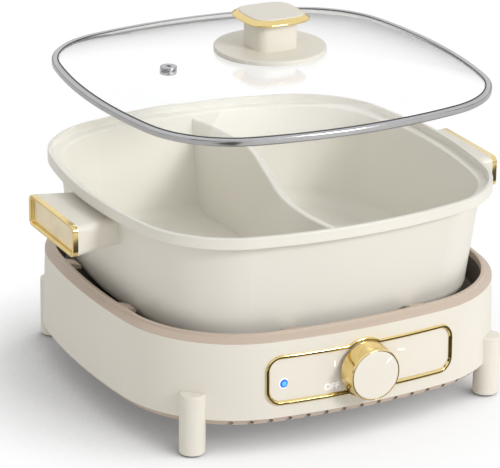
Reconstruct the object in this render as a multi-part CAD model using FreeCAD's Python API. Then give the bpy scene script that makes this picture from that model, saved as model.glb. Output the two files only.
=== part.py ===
import FreeCAD, Part
import math
import os

from FreeCAD import Vector

# Electric hot pot: a heated base, a lift-out pot split by a curved wall, and a loose glass lid.
# Millimetres. The pot's own axis is x = 0, y = 0, the table is z = 0 and the control knob faces -Y.
# Just before the files are written everything moves along Y, so that the origin ends under the
# middle of the whole object's box.

# Bottom cover and feet
cover_bottom_z = 23.0
cover_height = 5.6
cover_inset_top = 1.0
cover_inset_bottom = 7.0
cover_wall = 2.2
vent_pitch = 14.0
vent_width = 3.4
vent_count = 9
foot_from_corner_x = 67.8702
foot_from_corner_y = 70.722
foot_radius = 10.0
foot_rise_into_housing = 20.6
foot_ground_gap = 1.2
foot_edge = 1.0
foot_screw_inset = 7.0
pad_radius = 7.5
pad_recess = 1.4
pocket_wall = 2.4
pocket_clearance = 0.05

# Housing of the base
housing_over_pot_x = 2.6
housing_over_pot_y = 2.4
housing_side_radius = 545.0
housing_corner_radius = 96.5
housing_height = 60.4
housing_flare = 1.8
housing_wall = 2.8
boss_x = 62.0
boss_radius = 4.5
boss_height = 8.0
boss_edge_gap = 0.6
boss_rib = 2.4

# Trim ring on the housing, with the tabs that centre the pot
ring_step = 0.7
ring_bevel_width = 5.0
ring_bevel_rise = 3.1
ring_lip_height = 1.8
ring_width = 8.5
ring_underside = 2.4
ring_rib = 1.4
ring_rib_depth = 4.0
ring_rib_clearance = 0.1
tab_reach = 9.3
tab_width = 12.3
tab_offset_y = 49.8
tab_offset_x = 52.6
tab_drop = 2.8
tab_end = 2.6

# Tray inside the ring, heating plate and what hangs under it
tray_wall = 1.6
tray_drop = 17.4
tray_slope = 5.5
tray_flange = 4.0
plate_top_above_tray = 4.8
plate_radius = 100.0
plate_flange = 6.0
plate_boss_depth = 5.0
plate_clearance = 0.3
sensor_radius = 10.0
sensor_clearance = 0.05
sensor_gap = 0.1
sensor_travel = 1.5
sensor_wall = 1.2
sensor_depth = 12.0
holder_wall = 1.5
holder_clearance = 0.3
spring_wire = 0.6
spring_turns = 5
spring_radius = 6.6
heater_radius = 74.0
heater_tube_radius = 4.0
heater_gap_angle = 46.0
heater_tail = 8.0
heater_fit = 0.05
terminal_radius = 1.5
terminal_length = 9.0
shield_sheet = 1.0
shield_depth = 15.0
shield_radius = 112.0
shield_flange = 5.0
shield_hole = 5.0
thermostat_radius = 8.0
thermostat_height = 7.0
thermostat_x = 38.0
thermostat_y = 30.0

# Control panel on the front
control_z = 58.2
bezel_half_width = 80.0
bezel_half_height = 19.75
bezel_corner = 12.0
bezel_bulge = 23.6
bezel_frame = 3.4
bezel_proud = 1.6
bezel_lap = 1.2
bezel_fit = 0.1
bezel_sleeve_depth = 1.0
panel_recess = 0.2
panel_thickness = 2.2
led_x = -65.6
led_z = 55.3
led_radius = 3.0
led_proud = 0.3
led_flange = 1.2
led_fit = 0.05
board_thickness = 1.6
led_board_width = 18.0
led_board_height = 12.0
led_post_radius = 1.8
led_post_spacing = 13.0
switch_half = 12.0
switch_depth = 16.0
switch_fit = 0.05
bush_radius = 4.5
bush_length = 5.0
nut_radius = 6.5
nut_thickness = 2.0

# Control knob
knob_gap = 0.6
knob_depth = 15.7
knob_back_radius = 21.5
knob_front_radius = 20.5
knob_wall = 1.7
knob_rim = 1.1
knob_face_thickness = 2.0
knob_face_recess = 0.2
knob_web = 1.6
hub_radius = 6.0
hub_depth = 8.6
shaft_radius = 3.0
shaft_flat = 1.6
shaft_fit = 0.05
shaft_in_switch = 8.0
shaft_end_gap = 0.4

# Power inlet on the back
inlet_z = 56.0
inlet_body_width = 27.2
inlet_body_height = 19.8
inlet_body_depth = 20.0
inlet_flange_width = 50.0
inlet_flange_height = 24.0
inlet_flange_thickness = 2.5
inlet_seat_depth = 0.4
inlet_seat_wall = 4.0
inlet_screw_spacing = 40.0
inlet_socket_width = 24.0
inlet_socket_height = 16.4
inlet_socket_depth = 16.5
inlet_pin_width = 2.0
inlet_pin_height = 4.0
inlet_pin_length = 11.0
inlet_pin_tail = 7.0
inlet_pin_spacing = 14.0
inlet_earth_rise = 3.8

# Circuit board on the bottom cover
board_half_x = 42.0
board_half_y = 26.0
board_y = 52.0
post_height = 7.0
post_radius = 3.0
lead_radius = 1.2
switch_lead_bend_x = 16.0
switch_lead_bend_y = 60.0
lamp_lead_bend_x = 40.0
lamp_lead_bend_y = 70.0

# Screws
small_screw_radius = 1.7
small_screw_head = 3.3
small_screw_head_height = 1.6

# Pot
pot_half_x = 157.4
pot_half_y = 154.6
pot_side_radius = 405.0
pot_corner_radius = 82.0
pot_height = 92.9
pot_band_height = 8.7
pot_rim_width = 3.0
pot_ledge_depth = 5.9
pot_ledge_width = 8.6
pot_wall_inset = 9.4
pot_wall = 2.5
pot_draft_angle = 7.0
pot_floor = 2.5
pot_bottom_radius = 20.0
pot_rim_edge = 0.9
divider_thickness = 6.0
divider_below_ledge = 4.0
divider_lean = 15.8
divider_straight = 37.4
divider_arc_radius = 180.0
divider_top_edge = 1.5

# Pot handles
handle_reach = 27.6
handle_half_width = 41.0
handle_height = 25.0
handle_below_rim = 11.9
handle_corner = 5.5
handle_narrowing = 6.0
handle_thinning = 2.4
handle_frame_depth = 4.5
handle_frame_lip = 2.4
handle_panel_thickness = 2.0
handle_panel_recess = 1.7
bracket_length = 17.0
bracket_half_width = 12.0
bracket_height = 10.0
bracket_fit = 0.1
bracket_screw_y = 7.0
bracket_screw_inset = 6.5

# Lid, drawn as the photograph shows it: held above its seat on the pot's ledge
lid_raise = 75.0
lid_clearance = 0.9
lid_seat_gap = 0.1
lid_band_height = 5.7
lid_band_lip = 3.0
lid_band_foot = 5.6
lid_band_edge = 0.8
glass_inset = 1.6
glass_thickness = 3.6
glass_edge_rise = 0.7
glass_edge_slope = 0.6
glass_crown = 17.7
glass_bevel_margin = 2.5
vent_x = -86.6
vent_radius = 6.5
vent_neck = 4.4
vent_hole = 2.0
vent_above = 2.0
vent_below = 1.8
glass_hole = 3.2
hole_fit = 0.1

# Lid knob
disc_radius = 43.5
disc_rise = 3.0
disc_edge = 1.0
neck_half = 18.0
neck_corner = 8.0
neck_side_radius = 60.0
neck_height = 19.6
cap_half = 27.0
cap_side_radius = 95.0
cap_corner = 16.0
cap_undercut = 7.0
cap_undercut_rise = 3.2
cap_edge = 0.9
cap_bevel = 3.8
cap_bevel_rise = 2.7
cap_lip = 1.2
cap_top_rise = 0.7
lid_screw_radius = 2.5
lid_screw_head = 5.0
lid_screw_head_height = 3.4
lid_screw_length = 16.0
lid_washer_radius = 13.0
lid_washer_thickness = 1.2

# Places that follow from the sizes above
housing_half_x = pot_half_x + housing_over_pot_x
housing_half_y = pot_half_y + housing_over_pot_y
housing_bottom_z = cover_bottom_z + cover_height
housing_top_z = housing_bottom_z + housing_height
foot_top_z = housing_bottom_z + foot_rise_into_housing
cover_floor_z = cover_bottom_z + cover_wall
ring_top_z = housing_top_z + ring_step + ring_bevel_rise + ring_lip_height
tray_floor_z = housing_top_z - tray_drop + tray_wall
tray_under_z = tray_floor_z - tray_wall
plate_top_z = tray_floor_z + plate_top_above_tray
plate_under_z = tray_floor_z - plate_boss_depth
plate_boss_radius = plate_radius - plate_flange
shield_floor_z = tray_under_z - shield_depth
pot_bottom_z = plate_top_z
pot_top_z = pot_bottom_z + pot_height
pot_ledge_z = pot_top_z - pot_ledge_depth
pot_band_z = pot_top_z - pot_band_height
pot_draft = math.tan(math.radians(pot_draft_angle))
pot_inner_inset = pot_rim_width + pot_ledge_width
divider_top_z = pot_ledge_z - divider_below_ledge
lid_z = pot_ledge_z + lid_seat_gap + lid_raise
glass_edge_z = lid_z + glass_edge_rise + glass_thickness
glass_top_z = glass_edge_z + glass_crown
glass_under_z = glass_top_z - glass_thickness
disc_top_z = glass_top_z + disc_rise
neck_top_z = disc_top_z + neck_height
knob_z = control_z
inlet_flange_y = housing_half_y + inlet_seat_depth

UP = Vector(0, 0, 1)
FAR = 400.0
CORE_OVERLAP = 1.0


def rounded_loop(corners, place):
    """Closed wire through (u, v, radius) corners; place(u, v) gives the point in space."""
    flat = [Vector(u, v, 0) for u, v, radius in corners]
    stops = []
    for index, (u, v, radius) in enumerate(corners):
        corner = flat[index]
        before = flat[index - 1] - corner
        after = flat[(index + 1) % len(flat)] - corner
        shorter = min(before.Length, after.Length)
        before.normalize()
        after.normalize()
        half = before.getAngle(after) / 2
        radius = min(radius, 0.45 * shorter * math.tan(half))
        if radius < 1e-6:
            stops.append((corner, corner, corner))
            continue
        reach = radius / math.tan(half)
        bisector = before + after
        bisector.normalize()
        middle = corner + bisector * (radius / math.sin(half) - radius)
        stops.append((corner + before * reach, middle, corner + after * reach))
    edges = []
    for index, (entry, middle, leave) in enumerate(stops):
        if (leave - entry).Length > 1e-6:
            points = [place(p.x, p.y) for p in (entry, middle, leave)]
            edges.append(Part.Arc(*points).toShape())
        following = stops[(index + 1) % len(stops)][0]
        if (following - leave).Length > 1e-6:
            start = place(leave.x, leave.y)
            end = place(following.x, following.y)
            edges.append(Part.LineSegment(start, end).toShape())
    return Part.Wire(edges)


def join(shapes):
    """One solid from shapes that share faces or overlap."""
    return shapes[0].multiFuse(shapes[1:]).removeSplitter()


class Outline:
    """Rounded square seen from above: four slightly bulging sides and four tangent corner arcs."""

    def __init__(self, half_x, half_y, side_radius, corner_radius):
        self.half_x = half_x
        self.half_y = half_y
        self.side_radius = side_radius
        self.corner_radius = corner_radius

    def inset(self, amount):
        return Outline(
            self.half_x - amount,
            self.half_y - amount,
            self.side_radius - amount,
            self.corner_radius - amount,
        )

    def arcs(self):
        """The eight arcs as (centre x, centre y, radius, start angle, end angle)."""
        back_x = self.side_radius - self.half_x
        back_y = self.side_radius - self.half_y
        reach = self.side_radius - self.corner_radius
        slope = back_y / back_x
        shift = (back_y**2 - back_x**2) / (2 * back_x)
        a = slope**2 + 1
        b = 2 * (slope * shift + back_y)
        c = shift**2 + back_y**2 - reach**2
        corner_y = (-b + math.sqrt(b * b - 4 * a * c)) / (2 * a)
        corner_x = slope * corner_y + shift
        side_turn = math.degrees(math.atan2(corner_y, corner_x + back_x))
        front_turn = math.degrees(math.atan2(corner_x, corner_y + back_y))
        long, short = self.side_radius, self.corner_radius
        return [
            (-back_x, 0, long, -side_turn, side_turn),
            (corner_x, corner_y, short, side_turn, 90 - front_turn),
            (0, -back_y, long, 90 - front_turn, 90 + front_turn),
            (-corner_x, corner_y, short, 90 + front_turn, 180 - side_turn),
            (back_x, 0, long, 180 - side_turn, 180 + side_turn),
            (-corner_x, -corner_y, short, 180 + side_turn, 270 - front_turn),
            (0, back_y, long, 270 - front_turn, 270 + front_turn),
            (corner_x, -corner_y, short, 270 + front_turn, 360 - side_turn),
        ]

    def prism(self, low_z, high_z):
        edges = []
        for centre_x, centre_y, radius, start, end in self.arcs():
            points = []
            for angle in (start, (start + end) / 2, end):
                turn = math.radians(angle)
                x = centre_x + radius * math.cos(turn)
                y = centre_y + radius * math.sin(turn)
                points.append(Vector(x, y, low_z))
            edges.append(Part.Arc(*points).toShape())
        return Part.Face(Part.Wire(edges)).extrude(Vector(0, 0, high_z - low_z))

    def ring(self, corners):
        """A section carried round the outline; its corners are (inset, z, corner radius)."""
        pieces = []
        for centre_x, centre_y, radius, start, end in self.arcs():
            loop = rounded_loop(corners, lambda inset, z: Vector(radius - inset, 0, z))
            section = Part.Face(loop)
            section.rotate(Vector(0, 0, 0), UP, start)
            section.translate(Vector(centre_x, centre_y, 0))
            pieces.append(section.revolve(Vector(centre_x, centre_y, 0), UP, end - start))
        return join(pieces)

    def bowl(self, corners, core):
        """A full solid whose side is an open section from its bottom to its top."""
        low_z = corners[0][1]
        high_z = corners[-1][1]
        inner = [(core, low_z, 0)] + corners + [(core, high_z, 0)]
        middle = self.inset(core - CORE_OVERLAP).prism(low_z, high_z)
        return join([self.ring(inner), middle])

    def x_at(self, y):
        """Half width of the outline where a line across it at y meets its side arc."""
        return self.half_x - self.side_radius + math.sqrt(self.side_radius**2 - y**2)

    def y_at(self, x):
        return self.half_y - self.side_radius + math.sqrt(self.side_radius**2 - x**2)


housing_outline = Outline(
    housing_half_x, housing_half_y, housing_side_radius, housing_corner_radius
)
pot_outline = Outline(pot_half_x, pot_half_y, pot_side_radius, pot_corner_radius)
lid_outline = pot_outline.inset(pot_rim_width + lid_clearance)
neck_outline = Outline(neck_half, neck_half, neck_side_radius, neck_corner)
cap_outline = Outline(cap_half, cap_half, cap_side_radius, cap_corner)


def cylinder(radius, low, high, x=0.0, y=0.0):
    return Part.makeCylinder(radius, high - low, Vector(x, y, low))


def turned(corners):
    """Solid of revolution about Z from (radius, height, corner radius) corners."""
    loop = rounded_loop(corners, lambda radius, height: Vector(radius, 0, height))
    return Part.Face(loop).revolve(Vector(0, 0, 0), UP, 360)


def facing_front(shape, x, z):
    """Turns a solid made along +Z so that its height runs towards -Y, on an axis at x, z."""
    shape.rotate(Vector(0, 0, 0), Vector(1, 0, 0), 90)
    shape.translate(Vector(x, 0, z))
    return shape


def block(low_x, high_x, low_y, high_y, low_z, high_z):
    size = (high_x - low_x, high_y - low_y, high_z - low_z)
    return Part.makeBox(*size, Vector(low_x, low_y, low_z))


def rounded_plate(half_width, half_height, corner, along):
    """Rounded rectangle about the origin: a face in YZ for along X, or in XZ for along Y."""
    corners = [
        (-half_width, -half_height, corner),
        (half_width, -half_height, corner),
        (half_width, half_height, corner),
        (-half_width, half_height, corner),
    ]
    if along == "x":
        loop = rounded_loop(corners, lambda u, v: Vector(0, u, v))
    else:
        loop = rounded_loop(corners, lambda u, v: Vector(u, 0, v))
    return Part.Face(loop)


def lead(points, radius):
    """Round wire along straight runs that tangent arcs join."""
    corners = [Vector(*point) for point in points]
    edges = []
    start = corners[0]
    for index in range(1, len(corners) - 1):
        corner = corners[index]
        before = corners[index - 1] - corner
        after = corners[index + 1] - corner
        reach = 0.45 * min(before.Length, after.Length)
        before.normalize()
        after.normalize()
        half = before.getAngle(after) / 2
        bend = reach * math.tan(half)
        bisector = before + after
        bisector.normalize()
        middle = corner + bisector * (bend / math.sin(half) - bend)
        entry = corner + before * reach
        leave = corner + after * reach
        edges.append(Part.LineSegment(start, entry).toShape())
        edges.append(Part.Arc(entry, middle, leave).toShape())
        start = leave
    edges.append(Part.LineSegment(start, corners[-1]).toShape())
    path = Part.Wire(edges)
    section = Part.Wire(Part.Circle(corners[0], corners[1] - corners[0], radius).toShape())
    return path.makePipeShell([section], True, False)


def flare_at(z):
    """How far the housing's drafted wall stands outside its top outline at height z."""
    return housing_flare * (housing_top_z - z) / housing_height


def front_y(x, z, inset):
    """Y of the surface that lies inset from the housing's front wall."""
    return -housing_outline.inset(inset - flare_at(z)).y_at(x)


def wall_layer(outer, inner):
    """Part of the housing's wall between two insets, over its whole height."""
    corners = [
        (outer - housing_flare, housing_bottom_z, 0),
        (outer, housing_top_z, 0),
        (inner, housing_top_z, 0),
        (inner - housing_flare, housing_bottom_z, 0),
    ]
    return housing_outline.ring(corners)


def bezel_shape(inset):
    """The panel's outline as a solid through the front wall: a long plate and a round bulge."""
    half_width = bezel_half_width - inset
    half_height = bezel_half_height - inset
    plate = rounded_plate(half_width, half_height, bezel_corner - inset, "y")
    plate.translate(Vector(0, -FAR / 2, control_z))
    long_plate = plate.extrude(Vector(0, FAR / 4, 0))
    bulge = Part.makeCylinder(
        bezel_bulge - inset, FAR / 4, Vector(0, -FAR / 2, control_z), Vector(0, 1, 0)
    )
    return join([long_plate, bulge])


def foot_places():
    """The four feet by name, each set out from the middle of the housing's corner arc."""
    corner_x, corner_y = housing_outline.arcs()[1][:2]
    foot_x = corner_x + foot_from_corner_x
    foot_y = corner_y + foot_from_corner_y
    return {
        "front_left": (-foot_x, -foot_y),
        "front_right": (foot_x, -foot_y),
        "rear_left": (-foot_x, foot_y),
        "rear_right": (foot_x, foot_y),
    }


def foot_screw_places():
    """Screws stand in from each foot's middle, where the pocket's roof is inside the wall."""
    step = foot_screw_inset / math.sqrt(2)
    return [
        (x - math.copysign(step, x), y - math.copysign(step, y))
        for x, y in foot_places().values()
    ]


def boss_places():
    """Screw bosses inside the front and back walls, above the cover's flat floor."""
    edge = housing_outline.inset(cover_inset_bottom + boss_edge_gap)
    boss_y = edge.y_at(boss_x) - boss_radius
    return [(x, y) for x in (-boss_x, boss_x) for y in (-boss_y, boss_y)]


def boss_ribs():
    """A rib from each boss to the housing's wall."""
    ribs = []
    wall_middle = housing_outline.inset(housing_wall / 2 - housing_flare)
    for x, y in boss_places():
        wall_y = math.copysign(wall_middle.y_at(boss_x), y)
        low_y, high_y = sorted((y, wall_y))
        half = boss_rib / 2
        top = housing_bottom_z + boss_height
        ribs.append(block(x - half, x + half, low_y, high_y, housing_bottom_z, top))
    return ribs


def base_housing():
    shell = wall_layer(0, housing_wall)
    inside = housing_outline.inset(housing_wall / 2).prism(housing_bottom_z, housing_top_z)
    pocket_top = foot_top_z + pocket_wall
    additions = []
    for x, y in foot_places().values():
        sleeve = cylinder(foot_radius + pocket_wall, housing_bottom_z, pocket_top, x, y)
        additions.append(sleeve.common(inside))
    boss_top = housing_bottom_z + boss_height
    for x, y in boss_places():
        additions.append(cylinder(boss_radius, housing_bottom_z, boss_top, x, y))
    additions += boss_ribs()
    additions.append(inlet_seat().common(inside))
    shell = join([shell] + additions)
    cuts = [bezel_shape(bezel_lap - bezel_fit)]
    for x, y in foot_places().values():
        bore = foot_radius + pocket_clearance
        cuts.append(cylinder(bore, 0, foot_top_z + pocket_clearance, x, y))
    for x, y in foot_screw_places():
        cuts.append(cylinder(small_screw_radius + hole_fit, 0, pocket_top + 1, x, y))
    for x, y in boss_places():
        cuts.append(cylinder(small_screw_radius + pocket_clearance, 0, boss_top + 1, x, y))
    cuts.append(inlet_opening())
    return shell.cut(Part.makeCompound(cuts))


def inlet_seat():
    """Thick flat pad inside the back wall that the inlet's flange is screwed to."""
    half_width = inlet_flange_width / 2 + 1
    half_height = inlet_flange_height / 2 + 1
    return block(
        -half_width,
        half_width,
        inlet_flange_y - inlet_seat_wall,
        inlet_flange_y + housing_flare,
        inlet_z - half_height,
        inlet_z + half_height,
    )


def inlet_opening():
    """What the back wall loses to the inlet: its flat seat, its body and its screws."""
    half_width = inlet_flange_width / 2 + hole_fit
    half_height = inlet_flange_height / 2 + hole_fit
    seat = block(
        -half_width,
        half_width,
        inlet_flange_y,
        inlet_flange_y + FAR / 8,
        inlet_z - half_height,
        inlet_z + half_height,
    )
    half_width = inlet_body_width / 2 + hole_fit
    half_height = inlet_body_height / 2 + hole_fit
    body = block(
        -half_width,
        half_width,
        inlet_flange_y - FAR / 8,
        inlet_flange_y + 1,
        inlet_z - half_height,
        inlet_z + half_height,
    )
    holes = []
    for x in (-inlet_screw_spacing / 2, inlet_screw_spacing / 2):
        start = Vector(x, inlet_flange_y - FAR / 8, inlet_z)
        radius = small_screw_radius + pocket_clearance
        holes.append(Part.makeCylinder(radius, FAR / 8 + 1, start, Vector(0, 1, 0)))
    return join([seat, body] + holes)


def bottom_cover():
    step = cover_wall * (cover_inset_bottom - cover_inset_top) / cover_height
    core = cover_inset_bottom + cover_wall * 4
    wall = housing_outline.ring(
        [
            (cover_inset_bottom, cover_bottom_z, 1.0),
            (cover_inset_top, housing_bottom_z, 0),
            (cover_inset_top + cover_wall, housing_bottom_z, 0),
            (cover_inset_bottom + cover_wall - step, cover_floor_z, 0),
            (core, cover_floor_z, 0),
            (core, cover_bottom_z, 0),
        ]
    )
    floor = housing_outline.inset(core - CORE_OVERLAP).prism(cover_bottom_z, cover_floor_z)
    posts = []
    for x, y in boss_places():
        posts.append(cylinder(boss_radius, cover_bottom_z, housing_bottom_z, x, y))
    for x, y in board_posts():
        posts.append(cylinder(post_radius, cover_bottom_z, cover_floor_z + post_height, x, y))
    cover = join([wall, floor] + posts)
    cuts = []
    for x, y in boss_places():
        cuts.append(cylinder(small_screw_radius + hole_fit, 0, housing_bottom_z + 1, x, y))
        head_top = cover_bottom_z + small_screw_head_height + hole_fit
        cuts.append(cylinder(small_screw_head + hole_fit, 0, head_top, x, y))
    for x, y in foot_places().values():
        cuts.append(cylinder(foot_radius + holder_clearance, 0, housing_bottom_z + 1, x, y))
    for side in (-1, 1):
        for index in range(vent_count):
            x = (index - (vent_count - 1) / 2) * vent_pitch
            if abs(abs(x) - boss_x) < boss_radius + vent_width:
                continue
            outer = side * (housing_half_y + 1)
            inner = side * (housing_half_y - cover_inset_bottom - cover_wall * 3)
            low_y, high_y = sorted((outer, inner))
            slot_top = cover_bottom_z + cover_height * 0.7
            cuts.append(
                block(x - vent_width / 2, x + vent_width / 2, low_y, high_y, 0, slot_top)
            )
    return cover.cut(Part.makeCompound(cuts))


def board_posts():
    inset = post_radius + 1
    return [
        (x, board_y + y)
        for x in (inset - board_half_x, board_half_x - inset)
        for y in (inset - board_half_y, board_half_y - inset)
    ]


def foot(x, y, screw_x, screw_y):
    body = turned(
        [
            (0, foot_ground_gap, 0),
            (foot_radius, foot_ground_gap, foot_edge * 1.5),
            (foot_radius, foot_top_z, foot_edge),
            (0, foot_top_z, 0),
        ]
    )
    body = body.cut(cylinder(pad_radius, 0, foot_ground_gap + pad_recess))
    body.translate(Vector(x, y, 0))
    hole = cylinder(small_screw_radius, foot_top_z - 14, foot_top_z + 1, screw_x, screw_y)
    return body.cut(hole)


def foot_pads():
    pads = []
    for x, y in foot_places().values():
        pad = turned(
            [
                (0, 0, 0),
                (pad_radius, 0, 0.5),
                (pad_radius, foot_ground_gap + pad_recess, 0),
                (0, foot_ground_gap + pad_recess, 0),
            ]
        )
        pad.translate(Vector(x, y, 0))
        pads.append(pad)
    return Part.makeCompound(pads)


def small_screw(seat_z, length, x, y, upwards):
    """Pan head screw; its head lies on seat_z and its shank runs up or down from it."""
    screw = turned(
        [
            (0, -small_screw_head_height, 0),
            (small_screw_head, -small_screw_head_height, 0.6),
            (small_screw_head, 0, 0),
            (small_screw_radius, 0, 0),
            (small_screw_radius, length, 0.4),
            (0, length, 0),
        ]
    )
    if not upwards:
        screw.rotate(Vector(0, 0, 0), Vector(1, 0, 0), 180)
    screw.translate(Vector(x, y, seat_z))
    return screw


def foot_screws():
    seat = foot_top_z + pocket_wall
    screws = [small_screw(seat, 12, x, y, False) for x, y in foot_screw_places()]
    return Part.makeCompound(screws)


def cover_screws():
    seat = cover_bottom_z + small_screw_head_height + hole_fit
    length = housing_bottom_z + boss_height - seat - 1
    return Part.makeCompound([small_screw(seat, length, x, y, True) for x, y in boss_places()])


def top_ring():
    """Taupe trim: a bevel, a narrow lip, a rib inside the housing and eight centring tabs."""
    bevel_foot_z = housing_top_z + ring_step
    bevel_top_z = bevel_foot_z + ring_bevel_rise
    rib_outer = housing_wall + ring_rib_clearance
    rib_inner = rib_outer + ring_rib
    groove_top = housing_top_z + ring_underside
    ring = housing_outline.ring(
        [
            (0, housing_top_z, 0),
            (0, bevel_foot_z, 0.3),
            (ring_bevel_width, bevel_top_z, 0.4),
            (ring_bevel_width + 0.4, ring_top_z, 0.5),
            (ring_width, ring_top_z, 0.6),
            (ring_width, housing_top_z, 0),
            (ring_width - ring_rib, housing_top_z, 0),
            (ring_width - ring_rib, groove_top, 0),
            (rib_inner, groove_top, 0),
            (rib_inner, housing_top_z - ring_rib_depth, 0),
            (rib_outer, housing_top_z - ring_rib_depth, 0),
            (rib_outer, housing_top_z, 0),
        ]
    )
    inner = housing_outline.inset(ring_width)
    tabs = []
    for sign in (-1, 1):
        for side in (-1, 1):
            seat = inner.x_at(tab_offset_y)
            tabs.append(centring_tab(seat, side * tab_offset_y, 0 if sign > 0 else 180))
            seat = inner.y_at(tab_offset_x)
            tabs.append(centring_tab(seat, side * tab_offset_x, 90 if sign > 0 else 270))
    return join([ring] + tabs)


def centring_tab(seat, offset, turn):
    """Wedge that leans inwards from the ring towards the pot, at seat on the +X side."""
    high = ring_top_z - ring_lip_height / 4
    corners = [
        (seat + ring_rib, housing_top_z, 0),
        (seat + ring_rib, high, 0),
        (seat, high, 0),
        (seat - tab_reach, high - tab_drop, 0.8),
        (seat - tab_reach, high - tab_drop - tab_end, 0.8),
    ]
    loop = rounded_loop(corners, lambda x, z: Vector(x, offset - tab_width / 2, z))
    tab = Part.Face(loop).extrude(Vector(0, tab_width, 0))
    tab.rotate(Vector(0, 0, 0), UP, turn)
    return tab


def base_tray():
    """Dark tray that hangs under the ring and carries the heating plate round its opening."""
    foot_inset = ring_width + tray_slope
    flange_z = housing_top_z - tray_wall
    outer_inset = ring_width - tray_wall
    core = foot_inset + 30
    wall = housing_outline.ring(
        [
            (outer_inset - tray_flange + ring_rib, housing_top_z, 0),
            (ring_width, housing_top_z, 0),
            (foot_inset, tray_floor_z, 3),
            (core, tray_floor_z, 0),
            (core, tray_under_z, 0),
            (foot_inset - tray_wall, tray_under_z, 3),
            (outer_inset, flange_z, 0),
            (outer_inset - tray_flange + ring_rib, flange_z, 0),
        ]
    )
    floor = housing_outline.inset(core - CORE_OVERLAP).prism(tray_under_z, tray_floor_z)
    tray = join([wall, floor])
    opening = plate_boss_radius + plate_clearance
    return tray.cut(cylinder(opening, tray_under_z - 1, tray_floor_z + 1))


def heating_plate():
    hole = sensor_radius + sensor_clearance + holder_wall + holder_clearance
    plate = turned(
        [
            (hole, plate_under_z, 0),
            (plate_boss_radius, plate_under_z, 1),
            (plate_boss_radius, tray_floor_z, 0),
            (plate_radius, tray_floor_z, 0),
            (plate_radius, plate_top_z, 1.5),
            (hole, plate_top_z, 0.5),
        ]
    )
    half = heater_tube_radius + heater_fit
    groove = turned(
        [
            (heater_radius - half, plate_under_z - 1, 0),
            (heater_radius + half, plate_under_z - 1, 0),
            (heater_radius + half, plate_under_z + heater_tube_radius, 0),
            (heater_radius - half, plate_under_z + heater_tube_radius, 0),
        ]
    )
    return plate.cut(groove)


def heater_ends():
    """The two ends of the open heater loop, either side of the back."""
    half = math.radians(heater_gap_angle / 2)
    x = heater_radius * math.sin(half)
    y = heater_radius * math.cos(half)
    return [(-x, y), (x, y)]


def heater_tube():
    tube_z = plate_under_z - heater_fit
    start = Vector(heater_radius, 0, tube_z)
    section = Part.Face(Part.Wire(Part.Circle(start, Vector(0, 1, 0), heater_tube_radius).toShape()))
    section.rotate(Vector(0, 0, 0), UP, 90 + heater_gap_angle / 2)
    loop = section.revolve(Vector(0, 0, 0), UP, 360 - heater_gap_angle)
    tails = []
    for x, y in heater_ends():
        tails.append(cylinder(heater_tube_radius, tube_z - heater_tail, tube_z, x, y))
        tails.append(Part.makeSphere(heater_tube_radius, Vector(x, y, tube_z)))
    return loop.multiFuse(tails)


def heater_terminals():
    top = plate_under_z - heater_fit - heater_tail
    pins = []
    for x, y in heater_ends():
        pins.append(cylinder(terminal_radius, top - terminal_length, top, x, y))
    return Part.makeCompound(pins)


def heat_shield():
    """Thin pan that hangs from the tray under the plate and holds the sensor in its middle."""
    under = shield_floor_z - shield_sheet
    pan = turned(
        [
            (0, under, 0),
            (shield_radius, under, 2 + shield_sheet),
            (shield_radius, tray_under_z - shield_sheet, 0),
            (shield_radius + shield_flange, tray_under_z - shield_sheet, 0),
            (shield_radius + shield_flange, tray_under_z, 0),
            (shield_radius - shield_sheet, tray_under_z, 0),
            (shield_radius - shield_sheet, shield_floor_z, 2),
            (0, shield_floor_z, 0),
        ]
    )
    cuts = [cylinder(shield_hole, under - 1, shield_floor_z + 1, x, y) for x, y in heater_ends()]
    cuts.append(cylinder(sensor_radius / 2, under - 1, shield_floor_z + 1))
    return pan.cut(Part.makeCompound(cuts))


def sensor_holder():
    bore = sensor_radius + sensor_clearance
    outer = bore + holder_wall
    return turned(
        [
            (bore, shield_floor_z, 0),
            (outer + 4, shield_floor_z, 0),
            (outer + 4, shield_floor_z + 1.5, 0),
            (outer, shield_floor_z + 1.5, 0),
            (outer, plate_top_z - 1.5, 0),
            (bore, plate_top_z - 1.5, 0),
        ]
    )


def sensor_cap():
    """Sprung cap that meets the pot's floor; it goes down by sensor_travel."""
    top = plate_top_z - sensor_gap
    low = top - sensor_depth
    return turned(
        [
            (0, top - sensor_wall, 0),
            (sensor_radius - sensor_wall, top - sensor_wall, 0.5),
            (sensor_radius - sensor_wall, low, 0),
            (sensor_radius, low, 0),
            (sensor_radius, top, 0.8),
            (0, top, 0),
        ]
    )


def sensor_spring():
    low = shield_floor_z + spring_wire
    high = plate_top_z - sensor_gap - sensor_wall - spring_wire
    helix = Part.makeHelix((high - low) / spring_turns, high - low, spring_radius)
    start = Vector(spring_radius, 0, 0)
    section = Part.Wire(Part.Circle(start, Vector(0, 1, 0), spring_wire).toShape())
    spring = Part.Wire(helix).makePipeShell([section], True, True)
    spring.translate(Vector(0, 0, low))
    return spring


def limit_thermostat():
    body = cylinder(
        thermostat_radius,
        plate_under_z - thermostat_height,
        plate_under_z,
        thermostat_x,
        thermostat_y,
    )
    tabs = []
    for side in (-1, 1):
        x = thermostat_x + side * thermostat_radius * 0.6
        low = plate_under_z - thermostat_height - 4
        tabs.append(
            block(x - 0.4, x + 0.4, thermostat_y - 2.4, thermostat_y + 2.4, low, plate_under_z - 2)
        )
    return join([body] + tabs)


def control_bezel():
    """Gold frame: a face that laps the wall and a sleeve through the wall's opening."""
    inner = bezel_shape(bezel_frame)
    face = wall_layer(-bezel_proud, 0).common(bezel_shape(0))
    sleeve = wall_layer(0, housing_wall + bezel_sleeve_depth).common(bezel_shape(bezel_lap))
    return join([face, sleeve]).cut(inner)


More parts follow.
